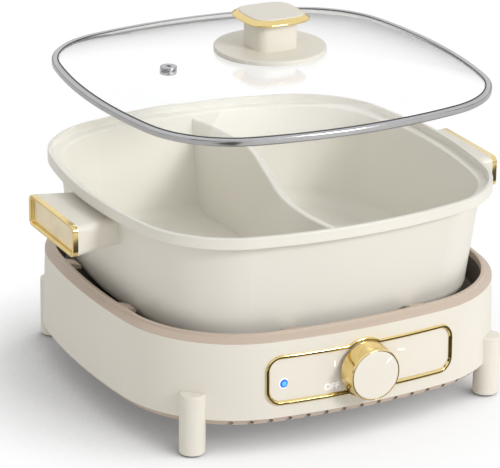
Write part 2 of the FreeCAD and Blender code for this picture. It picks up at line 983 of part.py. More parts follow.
def control_panel():
    plate = wall_layer(panel_recess, panel_recess + panel_thickness)
    plate = plate.common(bezel_shape(bezel_frame))
    posts = []
    for side in (-1, 1):
        x = led_x + side * led_post_spacing / 2
        start_y = front_y(x, led_z, panel_recess + panel_thickness / 2)
        length = led_board_front() - start_y
        start = Vector(x, start_y, led_z)
        posts.append(Part.makeCylinder(led_post_radius, length, start, Vector(0, 1, 0)))
    plate = join([plate] + posts)
    behind = Vector(0, -FAR / 2, control_z)
    hole = Part.makeCylinder(bush_radius + hole_fit, FAR / 4, behind, Vector(0, 1, 0))
    behind = Vector(led_x, -FAR / 2, led_z)
    led_hole = Part.makeCylinder(led_radius + led_fit, FAR / 4, behind, Vector(0, 1, 0))
    return plate.cut(Part.makeCompound([hole, led_hole]))


def led_board_front():
    """Y of the front of the small board behind the lamp's lens."""
    return front_y(led_x - led_radius, led_z, panel_recess + panel_thickness) + 2.4


def led_lens():
    front = -(front_y(led_x, led_z, panel_recess) - led_proud)
    back = -led_board_front()
    lens = turned(
        [
            (0, back, 0),
            (led_radius + led_flange, back, 0),
            (led_radius + led_flange, back + 0.9, 0),
            (led_radius, back + 0.9, 0),
            (led_radius, front, 0.8),
            (0, front, 0),
        ]
    )
    return facing_front(lens, led_x, led_z)


def led_board():
    front = led_board_front()
    half_width = led_board_width / 2
    half_height = led_board_height / 2
    board = block(
        led_x - half_width,
        led_x + half_width,
        front,
        front + board_thickness,
        led_z - half_height,
        led_z + half_height,
    )
    plug = block(led_x - 5, led_x + 5, front + board_thickness, front + 7, led_z - 3, led_z + 3)
    return join([board, plug])


def switch_front():
    """Distance of the rotary switch's front face from the pot's axis, towards the front."""
    highest = control_z + switch_half
    return -front_y(switch_half, highest, panel_recess + panel_thickness) - switch_fit


def bush_front():
    return switch_front() + bush_length + bezel_proud


def rotary_switch():
    front = switch_front()
    body = block(
        -switch_half,
        switch_half,
        -front,
        switch_depth - front,
        control_z - switch_half,
        control_z + switch_half,
    )
    bush = facing_front(cylinder(bush_radius, front - 1, bush_front()), 0, control_z)
    bore_end = front - shaft_in_switch - shaft_end_gap
    bore = cylinder(shaft_radius + shaft_fit, bore_end, bush_front() + 1)
    tabs = []
    for side in (-1, 1):
        x = side * switch_half / 2
        back = switch_depth - front
        tabs.append(block(x - 2.4, x + 2.4, back - 1, back + 6, control_z - 0.4, control_z + 0.4))
    return join([body, bush] + tabs).cut(facing_front(bore, 0, control_z))


def switch_nut():
    """Hexagon nut on the panel's face, inside the knob."""
    seat = -front_y(0, control_z - nut_radius, panel_recess) + switch_fit
    points = []
    for index in range(7):
        turn = math.radians(60 * index)
        points.append(Vector(nut_radius * math.cos(turn), nut_radius * math.sin(turn), seat))
    hexagon = Part.Face(Part.makePolygon(points))
    nut = hexagon.extrude(Vector(0, 0, nut_thickness))
    nut = nut.cut(cylinder(bush_radius, seat - 1, seat + nut_thickness + 1))
    return facing_front(nut, 0, control_z)


def knob_back():
    """Distance of the knob's back edge from the pot's axis: it clears the frame all round."""
    lowest = knob_z - knob_back_radius
    return -front_y(0, lowest, -bezel_proud) + knob_gap


def knob_front():
    return knob_back() + knob_depth


def shaft_blank(radius, low, high):
    """Shaft with a flat where the knob's hub sits."""
    shaft = cylinder(radius, low, high)
    hub_back = knob_front() - knob_face_thickness - knob_face_recess - knob_web - hub_depth
    side = shaft_radius - shaft_flat + (radius - shaft_radius)
    flat = block(side, FAR, -FAR, FAR, hub_back, high + 1)
    return shaft.cut(flat)


def knob_skirt():
    back, front = knob_back(), knob_front()
    seat = front - knob_face_thickness - knob_face_recess
    web = seat - knob_web
    face_radius = knob_front_radius - knob_rim
    skirt = turned(
        [
            (knob_back_radius, back, 0.4),
            (knob_front_radius, front, 0.5),
            (face_radius, front, 0.3),
            (face_radius, seat, 0),
            (0, seat, 0),
            (0, web - hub_depth, 0),
            (hub_radius, web - hub_depth, 0),
            (hub_radius, web, 1),
            (knob_front_radius - knob_wall - 1, web, 1),
            (knob_back_radius - knob_wall, back, 0),
        ]
    )
    bore = shaft_blank(shaft_radius, web - hub_depth - 1, seat - 0.4)
    return facing_front(skirt.cut(bore), 0, knob_z)


def knob_face():
    seat = knob_front() - knob_face_thickness - knob_face_recess
    face = turned(
        [
            (0, seat, 0),
            (knob_front_radius - knob_rim, seat, 0),
            (knob_front_radius - knob_rim, seat + knob_face_thickness, 0.4),
            (0, seat + knob_face_thickness, 0),
        ]
    )
    return facing_front(face, 0, knob_z)


def switch_shaft():
    seat = knob_front() - knob_face_thickness - knob_face_recess
    shaft = shaft_blank(shaft_radius, switch_front() - shaft_in_switch, seat - 0.4)
    return facing_front(shaft, 0, knob_z)


def inlet_body():
    """Socket with a screwed flange and room for a lead's connector."""
    flange = rounded_plate(inlet_flange_width / 2, inlet_flange_height / 2, 4, "y")
    flange.translate(Vector(0, inlet_flange_y, inlet_z))
    body = rounded_plate(inlet_body_width / 2, inlet_body_height / 2, 2, "y")
    body.translate(Vector(0, inlet_flange_y - inlet_body_depth, inlet_z))
    solid = join(
        [
            flange.extrude(Vector(0, inlet_flange_thickness, 0)),
            body.extrude(Vector(0, inlet_body_depth + inlet_flange_thickness / 2, 0)),
        ]
    )
    mouth = rounded_plate(inlet_socket_width / 2, inlet_socket_height / 2, 3, "y")
    mouth.translate(Vector(0, inlet_flange_y + inlet_flange_thickness - inlet_socket_depth, inlet_z))
    cuts = [mouth.extrude(Vector(0, inlet_socket_depth + 1, 0))]
    for x in (-inlet_screw_spacing / 2, inlet_screw_spacing / 2):
        start = Vector(x, inlet_flange_y - 1, inlet_z)
        radius = small_screw_radius + hole_fit
        cuts.append(Part.makeCylinder(radius, FAR / 8, start, Vector(0, 1, 0)))
    cuts += inlet_pin_blocks()
    return solid.cut(Part.makeCompound(cuts))


def inlet_pin_places():
    return [
        (-inlet_pin_spacing / 2, -inlet_earth_rise / 2),
        (inlet_pin_spacing / 2, -inlet_earth_rise / 2),
        (0, inlet_earth_rise / 2),
    ]


def inlet_pin_blocks():
    back = inlet_flange_y + inlet_flange_thickness - inlet_socket_depth
    tail = inlet_flange_y - inlet_body_depth - inlet_pin_tail
    pins = []
    for x, z in inlet_pin_places():
        pins.append(
            block(
                x - inlet_pin_width / 2,
                x + inlet_pin_width / 2,
                tail,
                back + inlet_pin_length,
                inlet_z + z - inlet_pin_height / 2,
                inlet_z + z + inlet_pin_height / 2,
            )
        )
    return pins


def inlet_screws():
    screws = []
    for x in (-inlet_screw_spacing / 2, inlet_screw_spacing / 2):
        screw = small_screw(0, 7, 0, 0, True)
        screw.rotate(Vector(0, 0, 0), Vector(1, 0, 0), 90)
        screw.translate(Vector(x, inlet_flange_y + inlet_flange_thickness, inlet_z))
        screws.append(screw)
    return Part.makeCompound(screws)


def control_board():
    low = cover_floor_z + post_height
    return block(
        -board_half_x,
        board_half_x,
        board_y - board_half_y,
        board_y + board_half_y,
        low,
        low + board_thickness,
    )


def board_parts():
    """Relay, transformer, plug strips and capacitor that stand on the circuit board."""
    low = board_top_z()
    relay = block(-34, -15, board_y - 8, board_y + 8, low, low + 15)
    transformer = block(8, 30, board_y - 9, board_y + 9, low, low + 13)
    rear_strip = block(-20, 20, board_y + 17, board_y + 25, low, low + 9)
    front_strip = block(-16, 16, board_y - 25, board_y - 17, low, low + 9)
    capacitor = cylinder(5, low, low + 14, -4, board_y)
    return Part.makeCompound([relay, transformer, rear_strip, front_strip, capacitor])


def board_top_z():
    return cover_floor_z + post_height + board_thickness


def internal_leads():
    """Wires from the board to the inlet, the heater, the switch and the lamp."""
    strip_z = board_top_z() + 5
    rear_y = board_y + 25
    front_strip_y = board_y - 25
    inlet_tail_y = inlet_flange_y - inlet_body_depth - inlet_pin_tail
    leads = []
    for index, (x, z) in enumerate(inlet_pin_places()):
        start_x = (-14, 14, 0)[index]
        points = [
            (start_x, rear_y, strip_z),
            (start_x, rear_y + 14, strip_z),
            (x, inlet_tail_y - 16, inlet_z + z),
            (x, inlet_tail_y, inlet_z + z),
        ]
        leads.append(lead(points, lead_radius))
    switch_back = switch_depth - switch_front() + 6
    for side in (-1, 1):
        x = side * switch_half / 2
        points = [
            (side * 6, front_strip_y, strip_z),
            (side * 6, front_strip_y - 16, strip_z),
            (side * switch_lead_bend_x, -switch_lead_bend_y, strip_z + 2),
            (x, switch_back + 12, control_z - 14),
            (x, switch_back + 12, control_z),
            (x, switch_back, control_z),
        ]
        leads.append(lead(points, lead_radius))
    terminal_z = plate_under_z - heater_fit - heater_tail - terminal_length
    for x, y in heater_ends():
        side = 1 if x > 0 else -1
        points = [
            (side * 20, board_y + 21, strip_z),
            (x, board_y + 21, strip_z),
            (x, y, strip_z + 1),
            (x, y, terminal_z),
        ]
        leads.append(lead(points, lead_radius))
    plug_back = led_board_front() + 7
    points = [
        (-12, front_strip_y, strip_z),
        (-12, front_strip_y - 16, strip_z),
        (-lamp_lead_bend_x, -lamp_lead_bend_y, strip_z + 2),
        (led_x, plug_back + 12, led_z - 12),
        (led_x, plug_back + 12, led_z),
        (led_x, plug_back, led_z),
    ]
    leads.append(lead(points, lead_radius * 0.7))
    return Part.makeCompound(leads)


def pot_inset_at(z):
    """Inset of the pot's outer wall from its rim at height z."""
    return pot_wall_inset + (pot_band_z - z) * pot_draft


def pot_outer():
    core = pot_inset_at(pot_bottom_z) + pot_bottom_radius + 4
    return pot_outline.bowl(
        [
            (pot_inset_at(pot_bottom_z), pot_bottom_z, pot_bottom_radius),
            (pot_wall_inset, pot_band_z, 0),
            (0, pot_band_z, 0.5),
            (0, pot_top_z, pot_rim_edge),
        ],
        core,
    )


def pot_cavity(top_z):
    floor_z = pot_bottom_z + pot_floor
    run = (pot_ledge_z - floor_z) * pot_draft
    core = pot_inner_inset + run + pot_bottom_radius + 4
    corners = [
        (pot_inner_inset + run, floor_z, pot_bottom_radius - pot_wall),
        (pot_inner_inset, pot_ledge_z, 1.5),
    ]
    if top_z > pot_ledge_z:
        corners += [
            (pot_rim_width, pot_ledge_z, 0.6),
            (pot_rim_width, top_z, 0),
        ]
    else:
        share = (top_z - floor_z) / (pot_ledge_z - floor_z)
        corners[1] = (pot_inner_inset + run * (1 - share), top_z, 0)
    return pot_outline.bowl(corners, core)


def pot_shell():
    return pot_outer().cut(pot_cavity(pot_top_z + 1))


def divider_wall():
    """Curved wall that splits the pot in two halves, alike when turned by half a turn."""
    lean = math.radians(divider_lean)
    along = Vector(math.sin(lean), math.cos(lean), 0)
    across = Vector(math.cos(lean), -math.sin(lean), 0)
    bend = along * divider_straight
    centre = bend - across * divider_arc_radius
    sides = []
    for offset in (divider_thickness / 2, -divider_thickness / 2):
        radius = divider_arc_radius + offset
        turn_end = math.asin((pot_half_y - centre.y) / radius)
        points = []
        for share in (0, 0.5, 1):
            turn = -lean + (turn_end + lean) * share
            points.append(centre + Vector(math.cos(turn), math.sin(turn), 0) * radius)
        sides.append(points)
    outer, inner = sides
    back = [Vector(-p.x, -p.y, 0) for p in outer], [Vector(-p.x, -p.y, 0) for p in inner]
    edges = [
        Part.Arc(*outer).toShape(),
        Part.LineSegment(outer[2], inner[2]).toShape(),
        Part.Arc(inner[2], inner[1], inner[0]).toShape(),
        Part.LineSegment(inner[0], back[0][0]).toShape(),
        Part.Arc(*back[0]).toShape(),
        Part.LineSegment(back[0][2], back[1][2]).toShape(),
        Part.Arc(back[1][2], back[1][1], back[1][0]).toShape(),
        Part.LineSegment(back[1][0], outer[0]).toShape(),
    ]
    face = Part.Face(Part.Wire(edges))
    low = pot_bottom_z
    wall = face.extrude(Vector(0, 0, divider_top_z - low))
    wall.translate(Vector(0, 0, low))
    top_edges = []
    for edge in wall.Edges:
        box = edge.BoundBox
        if box.ZMin > divider_top_z - 0.01 and edge.Length > divider_thickness * 2:
            top_edges.append(edge)
    wall = wall.makeFillet(divider_top_edge, top_edges)
    return wall.common(pot_cavity(divider_top_z + 1))


def handle_levels():
    top = pot_top_z - handle_below_rim
    return top - handle_height, top


def handle_section(x, half_width, low, high, corner):
    face = rounded_plate(half_width, (high - low) / 2, corner, "x")
    face.translate(Vector(x, 0, (low + high) / 2))
    return face.OuterWire


def handle_frame_x():
    return pot_half_x + handle_reach - handle_frame_depth


def bracket_x():
    """Where the bracket's foot starts, safely inside the pot's wall before it is cut."""
    return pot_half_x - pot_inset_at(handle_levels()[0]) - 6


def bracket_block(grow):
    low, high = handle_levels()
    middle = (low + high) / 2
    end = pot_half_x - pot_wall_inset + bracket_length
    return block(
        bracket_x(),
        end + grow,
        -bracket_half_width - grow,
        bracket_half_width + grow,
        middle - bracket_height / 2 - grow,
        middle + bracket_height / 2 + grow,
    )


def bracket_screw_x():
    return pot_half_x - pot_wall_inset + bracket_length - bracket_screw_inset


def on_side(shape, side):
    """A copy of a +X piece, turned to the side asked for."""
    turned_shape = shape.copy()
    if side < 0:
        turned_shape.rotate(Vector(0, 0, 0), UP, 180)
    return turned_shape


def handle_grip():
    low, high = handle_levels()
    root = handle_section(
        bracket_x(),
        handle_half_width - handle_narrowing,
        low + handle_thinning,
        high - handle_thinning,
        handle_corner,
    )
    end = handle_section(handle_frame_x(), handle_half_width, low, high, handle_corner)
    grip = Part.makeLoft([root, end], True, True)
    grip = grip.cut(pot_outer())
    grip = grip.cut(bracket_block(bracket_fit))
    for side in (-1, 1):
        y = side * bracket_screw_y
        hole = cylinder(small_screw_radius + hole_fit, low - 1, high - 8, bracket_screw_x(), y)
        head = cylinder(small_screw_head + 0.4, low - 1, low + 4, bracket_screw_x(), y)
        grip = grip.cut(hole).cut(head)
    return grip


def handle_frame():
    low, high = handle_levels()
    outer = handle_section(handle_frame_x(), handle_half_width, low, high, handle_corner)
    inner = handle_section(
        handle_frame_x(),
        handle_half_width - handle_frame_lip,
        low + handle_frame_lip,
        high - handle_frame_lip,
        handle_corner - handle_frame_lip,
    )
    way = Vector(handle_frame_depth, 0, 0)
    frame = Part.Face(outer).extrude(way)
    front = handle_frame_x() + handle_frame_depth
    rim = [edge for edge in frame.Edges if edge.BoundBox.XMin > front - 0.01]
    frame = frame.makeFillet(0.8, rim)
    return frame.cut(Part.Face(inner).extrude(way * 2))


def handle_panel():
    low, high = handle_levels()
    inner = handle_section(
        handle_frame_x(),
        handle_half_width - handle_frame_lip,
        low + handle_frame_lip,
        high - handle_frame_lip,
        handle_corner - handle_frame_lip,
    )
    depth = handle_frame_depth - handle_panel_recess
    return Part.Face(inner).extrude(Vector(depth, 0, 0))


def handle_brackets():
    bracket = bracket_block(0).cut(pot_outer())
    for side in (-1, 1):
        hole = cylinder(
            small_screw_radius, 0, FAR, bracket_screw_x(), side * bracket_screw_y
        )
        bracket = bracket.cut(hole)
    return Part.makeCompound([on_side(bracket, -1), on_side(bracket, 1)])


def handle_screws():
    low, high = handle_levels()
    seat = low + 4
    screws = []
    for side in (-1, 1):
        screws.append(small_screw(seat, 12, bracket_screw_x(), side * bracket_screw_y, True))
    pair = Part.makeCompound(screws)
    return Part.makeCompound(on_side(pair, -1).Solids + on_side(pair, 1).Solids)


def glass_block():
    """The lid's glass with everything under it: a bevelled edge under a shallow sphere."""
    core = 44.0
    edge_low = glass_edge_z - glass_thickness
    crown = glass_top_z + FAR / 10
    rise = glass_edge_slope * (core - glass_inset)
    ring = lid_outline.ring(
        [
            (core, edge_low, 0),
            (glass_inset, edge_low, 0),
            (glass_inset, glass_edge_z, 0),
            (core, glass_edge_z + rise, 0),
        ]
    )
    middle = lid_outline.inset(core - CORE_OVERLAP).prism(edge_low, crown)
    radius = glass_radius()
    sphere = Part.makeSphere(radius, Vector(0, 0, glass_top_z - radius))
    return join([ring, middle]).common(sphere)


def glass_radius():
    """Radius of the lid's sphere: it passes just outside the glass at its four corners."""
    corner = lid_outline.inset(glass_inset).arcs()[1]
    reach = math.hypot(corner[0], corner[1]) + corner[2] + glass_bevel_margin
    return (reach**2 + glass_crown**2) / (2 * glass_crown)


def lid_glass_plain():
    block_above = glass_block()
    block_below = block_above.copy()
    block_below.translate(Vector(0, 0, -glass_thickness))
    return block_above.cut(block_below)


def lid_glass(plain):
    low, high = lid_z - 1, glass_top_z + 1
    holes = [
        cylinder(glass_hole, low, high),
        cylinder(vent_neck + hole_fit, low, high, vent_x, 0),
    ]
    return plain.cut(Part.makeCompound(holes))


def lid_band(plain):
    """Steel rim folded round the glass edge."""
    top = lid_z + lid_band_height
    step = glass_edge_rise + glass_thickness + 0.4
    band = lid_outline.ring(
        [
            (0, lid_z, 0.5),
            (0, top, lid_band_edge),
            (lid_band_lip, top, 0),
            (lid_band_lip, lid_z + step, 0),
            (lid_band_foot, lid_z + step, 0),
            (lid_band_foot, lid_z, 0),
        ]
    )
    return band.cut(plain)


def glass_height(x):
    """Top of the glass above the lid's middle line at x."""
    radius = glass_radius()
    return glass_top_z - radius + math.sqrt(radius**2 - x**2)


def vent_grommet(plain):
    middle = glass_height(vent_x)
    grommet = turned(
        [
            (vent_hole, middle - glass_thickness - vent_below - 0.8, 0.4),
            (vent_radius, middle - glass_thickness - vent_below - 0.8, 0.6),
            (vent_radius, middle + vent_above, 0.9),
            (vent_hole, middle + vent_above, 0.4),
        ]
    )
    grommet.translate(Vector(vent_x, 0, 0))
    glass_around = plain.cut(cylinder(vent_neck, lid_z, glass_top_z, vent_x, 0))
    return grommet.cut(glass_around)


def lid_knob_disc(plain):
    disc = turned(
        [
            (0, glass_top_z - disc_rise, 0),
            (disc_radius, glass_top_z - disc_rise, 0),
            (disc_radius, disc_top_z, disc_edge),
            (0, disc_top_z, 0),
        ]
    )
    disc = disc.cut(glass_block())
    return disc.cut(cylinder(glass_hole, lid_z, disc_top_z + 1))


def lid_knob_neck():
    neck = neck_outline.prism(disc_top_z, neck_top_z)
    bore = lid_screw_length + 3 - disc_rise
    return neck.cut(cylinder(lid_screw_radius, disc_top_z - 1, disc_top_z + bore))


def lid_cap_ring():
    widest_low = neck_top_z + cap_undercut_rise
    widest_high = widest_low + cap_edge
    top = widest_high + cap_bevel_rise
    inner = cap_bevel + cap_lip
    return cap_outline.ring(
        [
            (cap_undercut, neck_top_z, 0.6),
            (0, widest_low, 1.0),
            (0, widest_high, 0.8),
            (cap_bevel, top, 0.4),
            (inner, top, 0),
            (inner, neck_top_z + 1.2, 0),
            (cap_undercut + 2, neck_top_z + 1.2, 0),
            (cap_undercut + 2, neck_top_z, 0),
        ]
    )


def lid_cap_top():
    """Cream button that fills the gold ring and stands on the neck."""
    top = neck_top_z + cap_undercut_rise + cap_edge + cap_bevel_rise + cap_top_rise
    inner = cap_bevel + cap_lip
    core = cap_corner - 3
    step = neck_top_z + 1.2
    return cap_outline.bowl(
        [
            (cap_undercut + 2, neck_top_z, 0),
            (cap_undercut + 2, step, 0),
            (inner, step, 0),
            (inner, top, 1.0),
        ],
        core,
    )


def lid_washer():
    top = glass_under_z - 0.12
    low = top - lid_washer_thickness
    return turned(
        [
            (lid_screw_radius + hole_fit, low, 0),
            (lid_washer_radius, low, 0.3),
            (lid_washer_radius, top, 0),
            (lid_screw_radius + hole_fit, top, 0),
        ]
    )


def lid_screw():
    seat = glass_under_z - 0.12 - lid_washer_thickness
    return turned(
        [
            (0, seat - lid_screw_head_height, 0),
            (lid_screw_head, seat - lid_screw_head_height, 1.2),
            (lid_screw_head, seat, 0),
            (lid_screw_radius, seat, 0),
            (lid_screw_radius, seat + lid_screw_length + glass_thickness, 0.4),
            (0, seat + lid_screw_length + glass_thickness, 0),
        ]
    )


def base_nodes():
    nodes = {
        "base_housing": base_housing(),
        "bottom_cover": bottom_cover(),
        "foot_pads": foot_pads(),
        "foot_screws": foot_screws(),
        "cover_screws": cover_screws(),
        "top_ring": top_ring(),
        "base_tray": base_tray(),
        "heating_plate": heating_plate(),
        "heater_tube": heater_tube(),
        "heater_terminals": heater_terminals(),
        "heat_shield": heat_shield(),
        "sensor_holder": sensor_holder(),
        "sensor_cap": sensor_cap(),
        "sensor_spring": sensor_spring(),
        "limit_thermostat": limit_thermostat(),
        "control_bezel": control_bezel(),
        "control_panel": control_panel(),
        "led_lens": led_lens(),
        "led_board": led_board(),
        "rotary_switch": rotary_switch(),
        "switch_nut": switch_nut(),
        "control_board": control_board(),
        "board_parts": board_parts(),
        "internal_leads": internal_leads(),
        "inlet_body": inlet_body(),
        "inlet_pins": Part.makeCompound(inlet_pin_blocks()),
        "inlet_screws": inlet_screws(),
        "knob_skirt": knob_skirt(),
        "knob_face": knob_face(),
        "switch_shaft": switch_shaft(),
    }
    for (name, place), screw in zip(foot_places().items(), foot_screw_places()):
        nodes["foot_" + name] = foot(*place, *screw)
    return nodes


def pot_nodes():
    nodes = {
        "pot_shell": pot_shell(),
        "divider_wall": divider_wall(),
        "handle_brackets": handle_brackets(),
        "handle_screws": handle_screws(),
    }
    grip, frame, panel = handle_grip(), handle_frame(), handle_panel()
    for name, side in (("left", -1), ("right", 1)):
        nodes["handle_" + name] = on_side(grip, side)
        nodes["handle_frame_" + name] = on_side(frame, side)
        nodes["handle_panel_" + name] = on_side(panel, side)
    return nodes


def lid_nodes():
    plain = lid_glass_plain()
    return {
        "lid_glass": lid_glass(plain),
        "lid_band": lid_band(plain),
        "vent_grommet": vent_grommet(plain),
        "lid_knob_disc": lid_knob_disc(plain),
        "lid_knob_neck": lid_knob_neck(),
        "lid_cap_ring": lid_cap_ring(),
        "lid_cap_top": lid_cap_top(),
        "lid_washer": lid_washer(),
        "lid_screw": lid_screw(),
    }


os.makedirs("parts", exist_ok=True)
rear_reach = inlet_flange_y + inlet_flange_thickness + small_screw_head_height
frame_shift = (knob_front() - rear_reach) / 2
for make_nodes in (base_nodes, pot_nodes, lid_nodes):
    for name, shape in make_nodes().items():
        shape.translate(Vector(0, frame_shift, 0))
        for solid in shape.Solids:
            if not solid.isValid() or solid.Volume <= 0:
                print(name, "has a faulty solid")
        print(name, len(shape.Solids), round(shape.Volume))
        shape.exportStep("parts/" + name + ".step")
print("frame shift", round(frame_shift, 3))
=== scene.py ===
import math
import bpy
import bmesh
from mathutils import Matrix, Vector


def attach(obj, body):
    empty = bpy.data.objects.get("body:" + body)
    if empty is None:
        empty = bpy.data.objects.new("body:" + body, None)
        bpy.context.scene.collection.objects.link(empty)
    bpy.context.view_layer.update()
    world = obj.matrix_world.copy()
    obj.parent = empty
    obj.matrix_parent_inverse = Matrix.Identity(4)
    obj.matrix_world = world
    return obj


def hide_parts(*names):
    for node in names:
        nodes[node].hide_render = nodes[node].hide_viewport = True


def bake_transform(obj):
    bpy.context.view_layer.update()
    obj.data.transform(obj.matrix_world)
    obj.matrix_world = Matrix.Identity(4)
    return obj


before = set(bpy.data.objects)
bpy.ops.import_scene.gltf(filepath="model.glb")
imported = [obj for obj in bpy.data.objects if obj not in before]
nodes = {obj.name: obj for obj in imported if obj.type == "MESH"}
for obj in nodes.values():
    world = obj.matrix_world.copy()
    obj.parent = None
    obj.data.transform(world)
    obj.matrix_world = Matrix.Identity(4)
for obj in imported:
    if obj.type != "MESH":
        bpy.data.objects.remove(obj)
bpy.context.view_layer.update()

print("frame loaded with", len(nodes), "nodes")

mm = 0.001
potAxisY = 7.479  # the pot's own axis stands this far behind the origin


def paint(red, green, blue):
    # a colour as a paint chart gives it, 0 to 255, turned into Blender's linear values
    def linear(value):
        value /= 255
        return value / 12.92 if value < 0.04045 else ((value + 0.055) / 1.055) ** 2.4
    return (linear(red), linear(green), linear(blue), 1.0)


# finishes


def newFinish(name, colour, roughness, metallic=0.0):
    material = bpy.data.materials.new(name)
    material.use_nodes = True
    shader = material.node_tree.nodes["Principled BSDF"]
    shader.inputs["Base Color"].default_value = colour
    shader.inputs["Roughness"].default_value = roughness
    shader.inputs["Metallic"].default_value = metallic
    return material, material.node_tree, shader


def placeOf(tree, stretch=(1, 1, 1), centre=(0, 0, 0)):
    where = tree.nodes.new("ShaderNodeTexCoord")
    mapping = tree.nodes.new("ShaderNodeMapping")
    mapping.inputs["Scale"].default_value = stretch
    mapping.inputs["Location"].default_value = [-c * s for c, s in zip(centre, stretch)]
    tree.links.new(where.outputs["Object"], mapping.inputs["Vector"])
    return mapping.outputs["Vector"]


def noiseOf(tree, vector, perMetre, detail=3.0, roughness=0.55):
    noise = tree.nodes.new("ShaderNodeTexNoise")
    noise.inputs["Scale"].default_value = perMetre
    noise.inputs["Detail"].default_value = detail
    noise.inputs["Roughness"].default_value = roughness
    tree.links.new(vector, noise.inputs["Vector"])
    return noise.outputs["Fac"]


def rangeOf(tree, value, low, high, fromLow=0.3, fromHigh=0.7):
    spread = tree.nodes.new("ShaderNodeMapRange")
    spread.inputs["From Min"].default_value = fromLow
    spread.inputs["From Max"].default_value = fromHigh
    spread.inputs["To Min"].default_value = low
    spread.inputs["To Max"].default_value = high
    tree.links.new(value, spread.inputs["Value"])
    return spread.outputs["Result"]


def tintOf(tree, factor, first, second):
    mix = tree.nodes.new("ShaderNodeMix")
    mix.data_type = "RGBA"
    mix.inputs[6].default_value = first
    mix.inputs[7].default_value = second
    tree.links.new(factor, mix.inputs[0])
    return mix.outputs[2]


def bumpOf(tree, height, depth, strength):
    bump = tree.nodes.new("ShaderNodeBump")
    bump.inputs["Distance"].default_value = depth
    bump.inputs["Strength"].default_value = strength
    tree.links.new(height, bump.inputs["Height"])
    return bump.outputs["Normal"]


def mathsOf(tree, operation, *values):
    # each value is a plain number or another node's output
    node = tree.nodes.new("ShaderNodeMath")
    node.operation = operation
    for slot, value in enumerate(values):
        if isinstance(value, (int, float)):
            node.inputs[slot].default_value = value
        else:
            tree.links.new(value, node.inputs[slot])
    return node.outputs[0]


def distanceOf(tree, vector):
    length = tree.nodes.new("ShaderNodeVectorMath")
    length.operation = "LENGTH"
    tree.links.new(vector, length.inputs[0])
    return length.outputs["Value"]


def mixInto(tree, factor, first, second, target):
    # the shader outputs first and second, mixed and led to the output node's Surface
    mix = tree.nodes.new("ShaderNodeMixShader")
    tree.links.new(factor, mix.inputs[0])
    tree.links.new(first, mix.inputs[1])
    tree.links.new(second, mix.inputs[2])
    tree.links.new(mix.outputs[0], tree.nodes[target].inputs["Surface"])


def shaded(colour, amount):
    return tuple(max(0.0, min(1.0, c * amount)) for c in colour[:3]) + (1.0,)


def mouldedPlastic(name, colour, roughness, grain, depth, mottle=0.02, coat=0.0):
    # satin moulding: fine spark-eroded grain over a very slight waviness
    material, tree, shader = newFinish(name, colour, roughness)
    spot = placeOf(tree)
    broad = rangeOf(tree, noiseOf(tree, spot, 9.0, 1.0), 0.0, 1.0)
    tint = tintOf(tree, broad, shaded(colour, 1 - mottle), shaded(colour, 1 + mottle * 0.4))
    tree.links.new(tint, shader.inputs["Base Color"])
    patches = noiseOf(tree, spot, 120.0, 4.0)
    tree.links.new(rangeOf(tree, patches, roughness - 0.025, roughness + 0.03), shader.inputs["Roughness"])
    tree.links.new(bumpOf(tree, noiseOf(tree, spot, grain, 2.0, 0.5), depth, 0.6), shader.inputs["Normal"])
    shader.inputs["Coat Weight"].default_value = coat
    shader.inputs["Coat Roughness"].default_value = 0.08
    return material


def polishedMetal(name, colour, roughness, brush=None, depth=0.000004, shade=0.9):
    # plated or brushed metal: brush is the stretch of the lines, or None for a mirror polish
    material, tree, shader = newFinish(name, colour, roughness, 1.0)
    spot = placeOf(tree)
    smear = noiseOf(tree, spot, 60.0, 3.0)
    tint = tintOf(tree, rangeOf(tree, smear, 0.0, 1.0), shaded(colour, shade), colour)
    tree.links.new(tint, shader.inputs["Base Color"])
    if brush is None:
        tree.links.new(rangeOf(tree, smear, roughness * 0.7, roughness * 1.4), shader.inputs["Roughness"])
        tree.links.new(bumpOf(tree, noiseOf(tree, spot, 300.0, 2.0), depth, 0.5), shader.inputs["Normal"])
    else:
        lines = noiseOf(tree, placeOf(tree, brush), 1.0, 5.0, 0.7)
        tree.links.new(rangeOf(tree, lines, roughness * 0.65, roughness * 1.5), shader.inputs["Roughness"])
        tree.links.new(bumpOf(tree, lines, depth, 0.8), shader.inputs["Normal"])
    return material


creams = {
    "housing": paint(236, 232, 221),
    "pot": paint(236, 233, 224),
    "panel": paint(243, 238, 227),
    "marks": paint(255, 255, 255),
    "taupe": paint(205, 188, 173),
    "tray": paint(92, 84, 76),
}
golds = {
    "frame": paint(238, 214, 150),
    "inset": paint(253, 240, 210),
    "steel": paint(188, 188, 190),
}

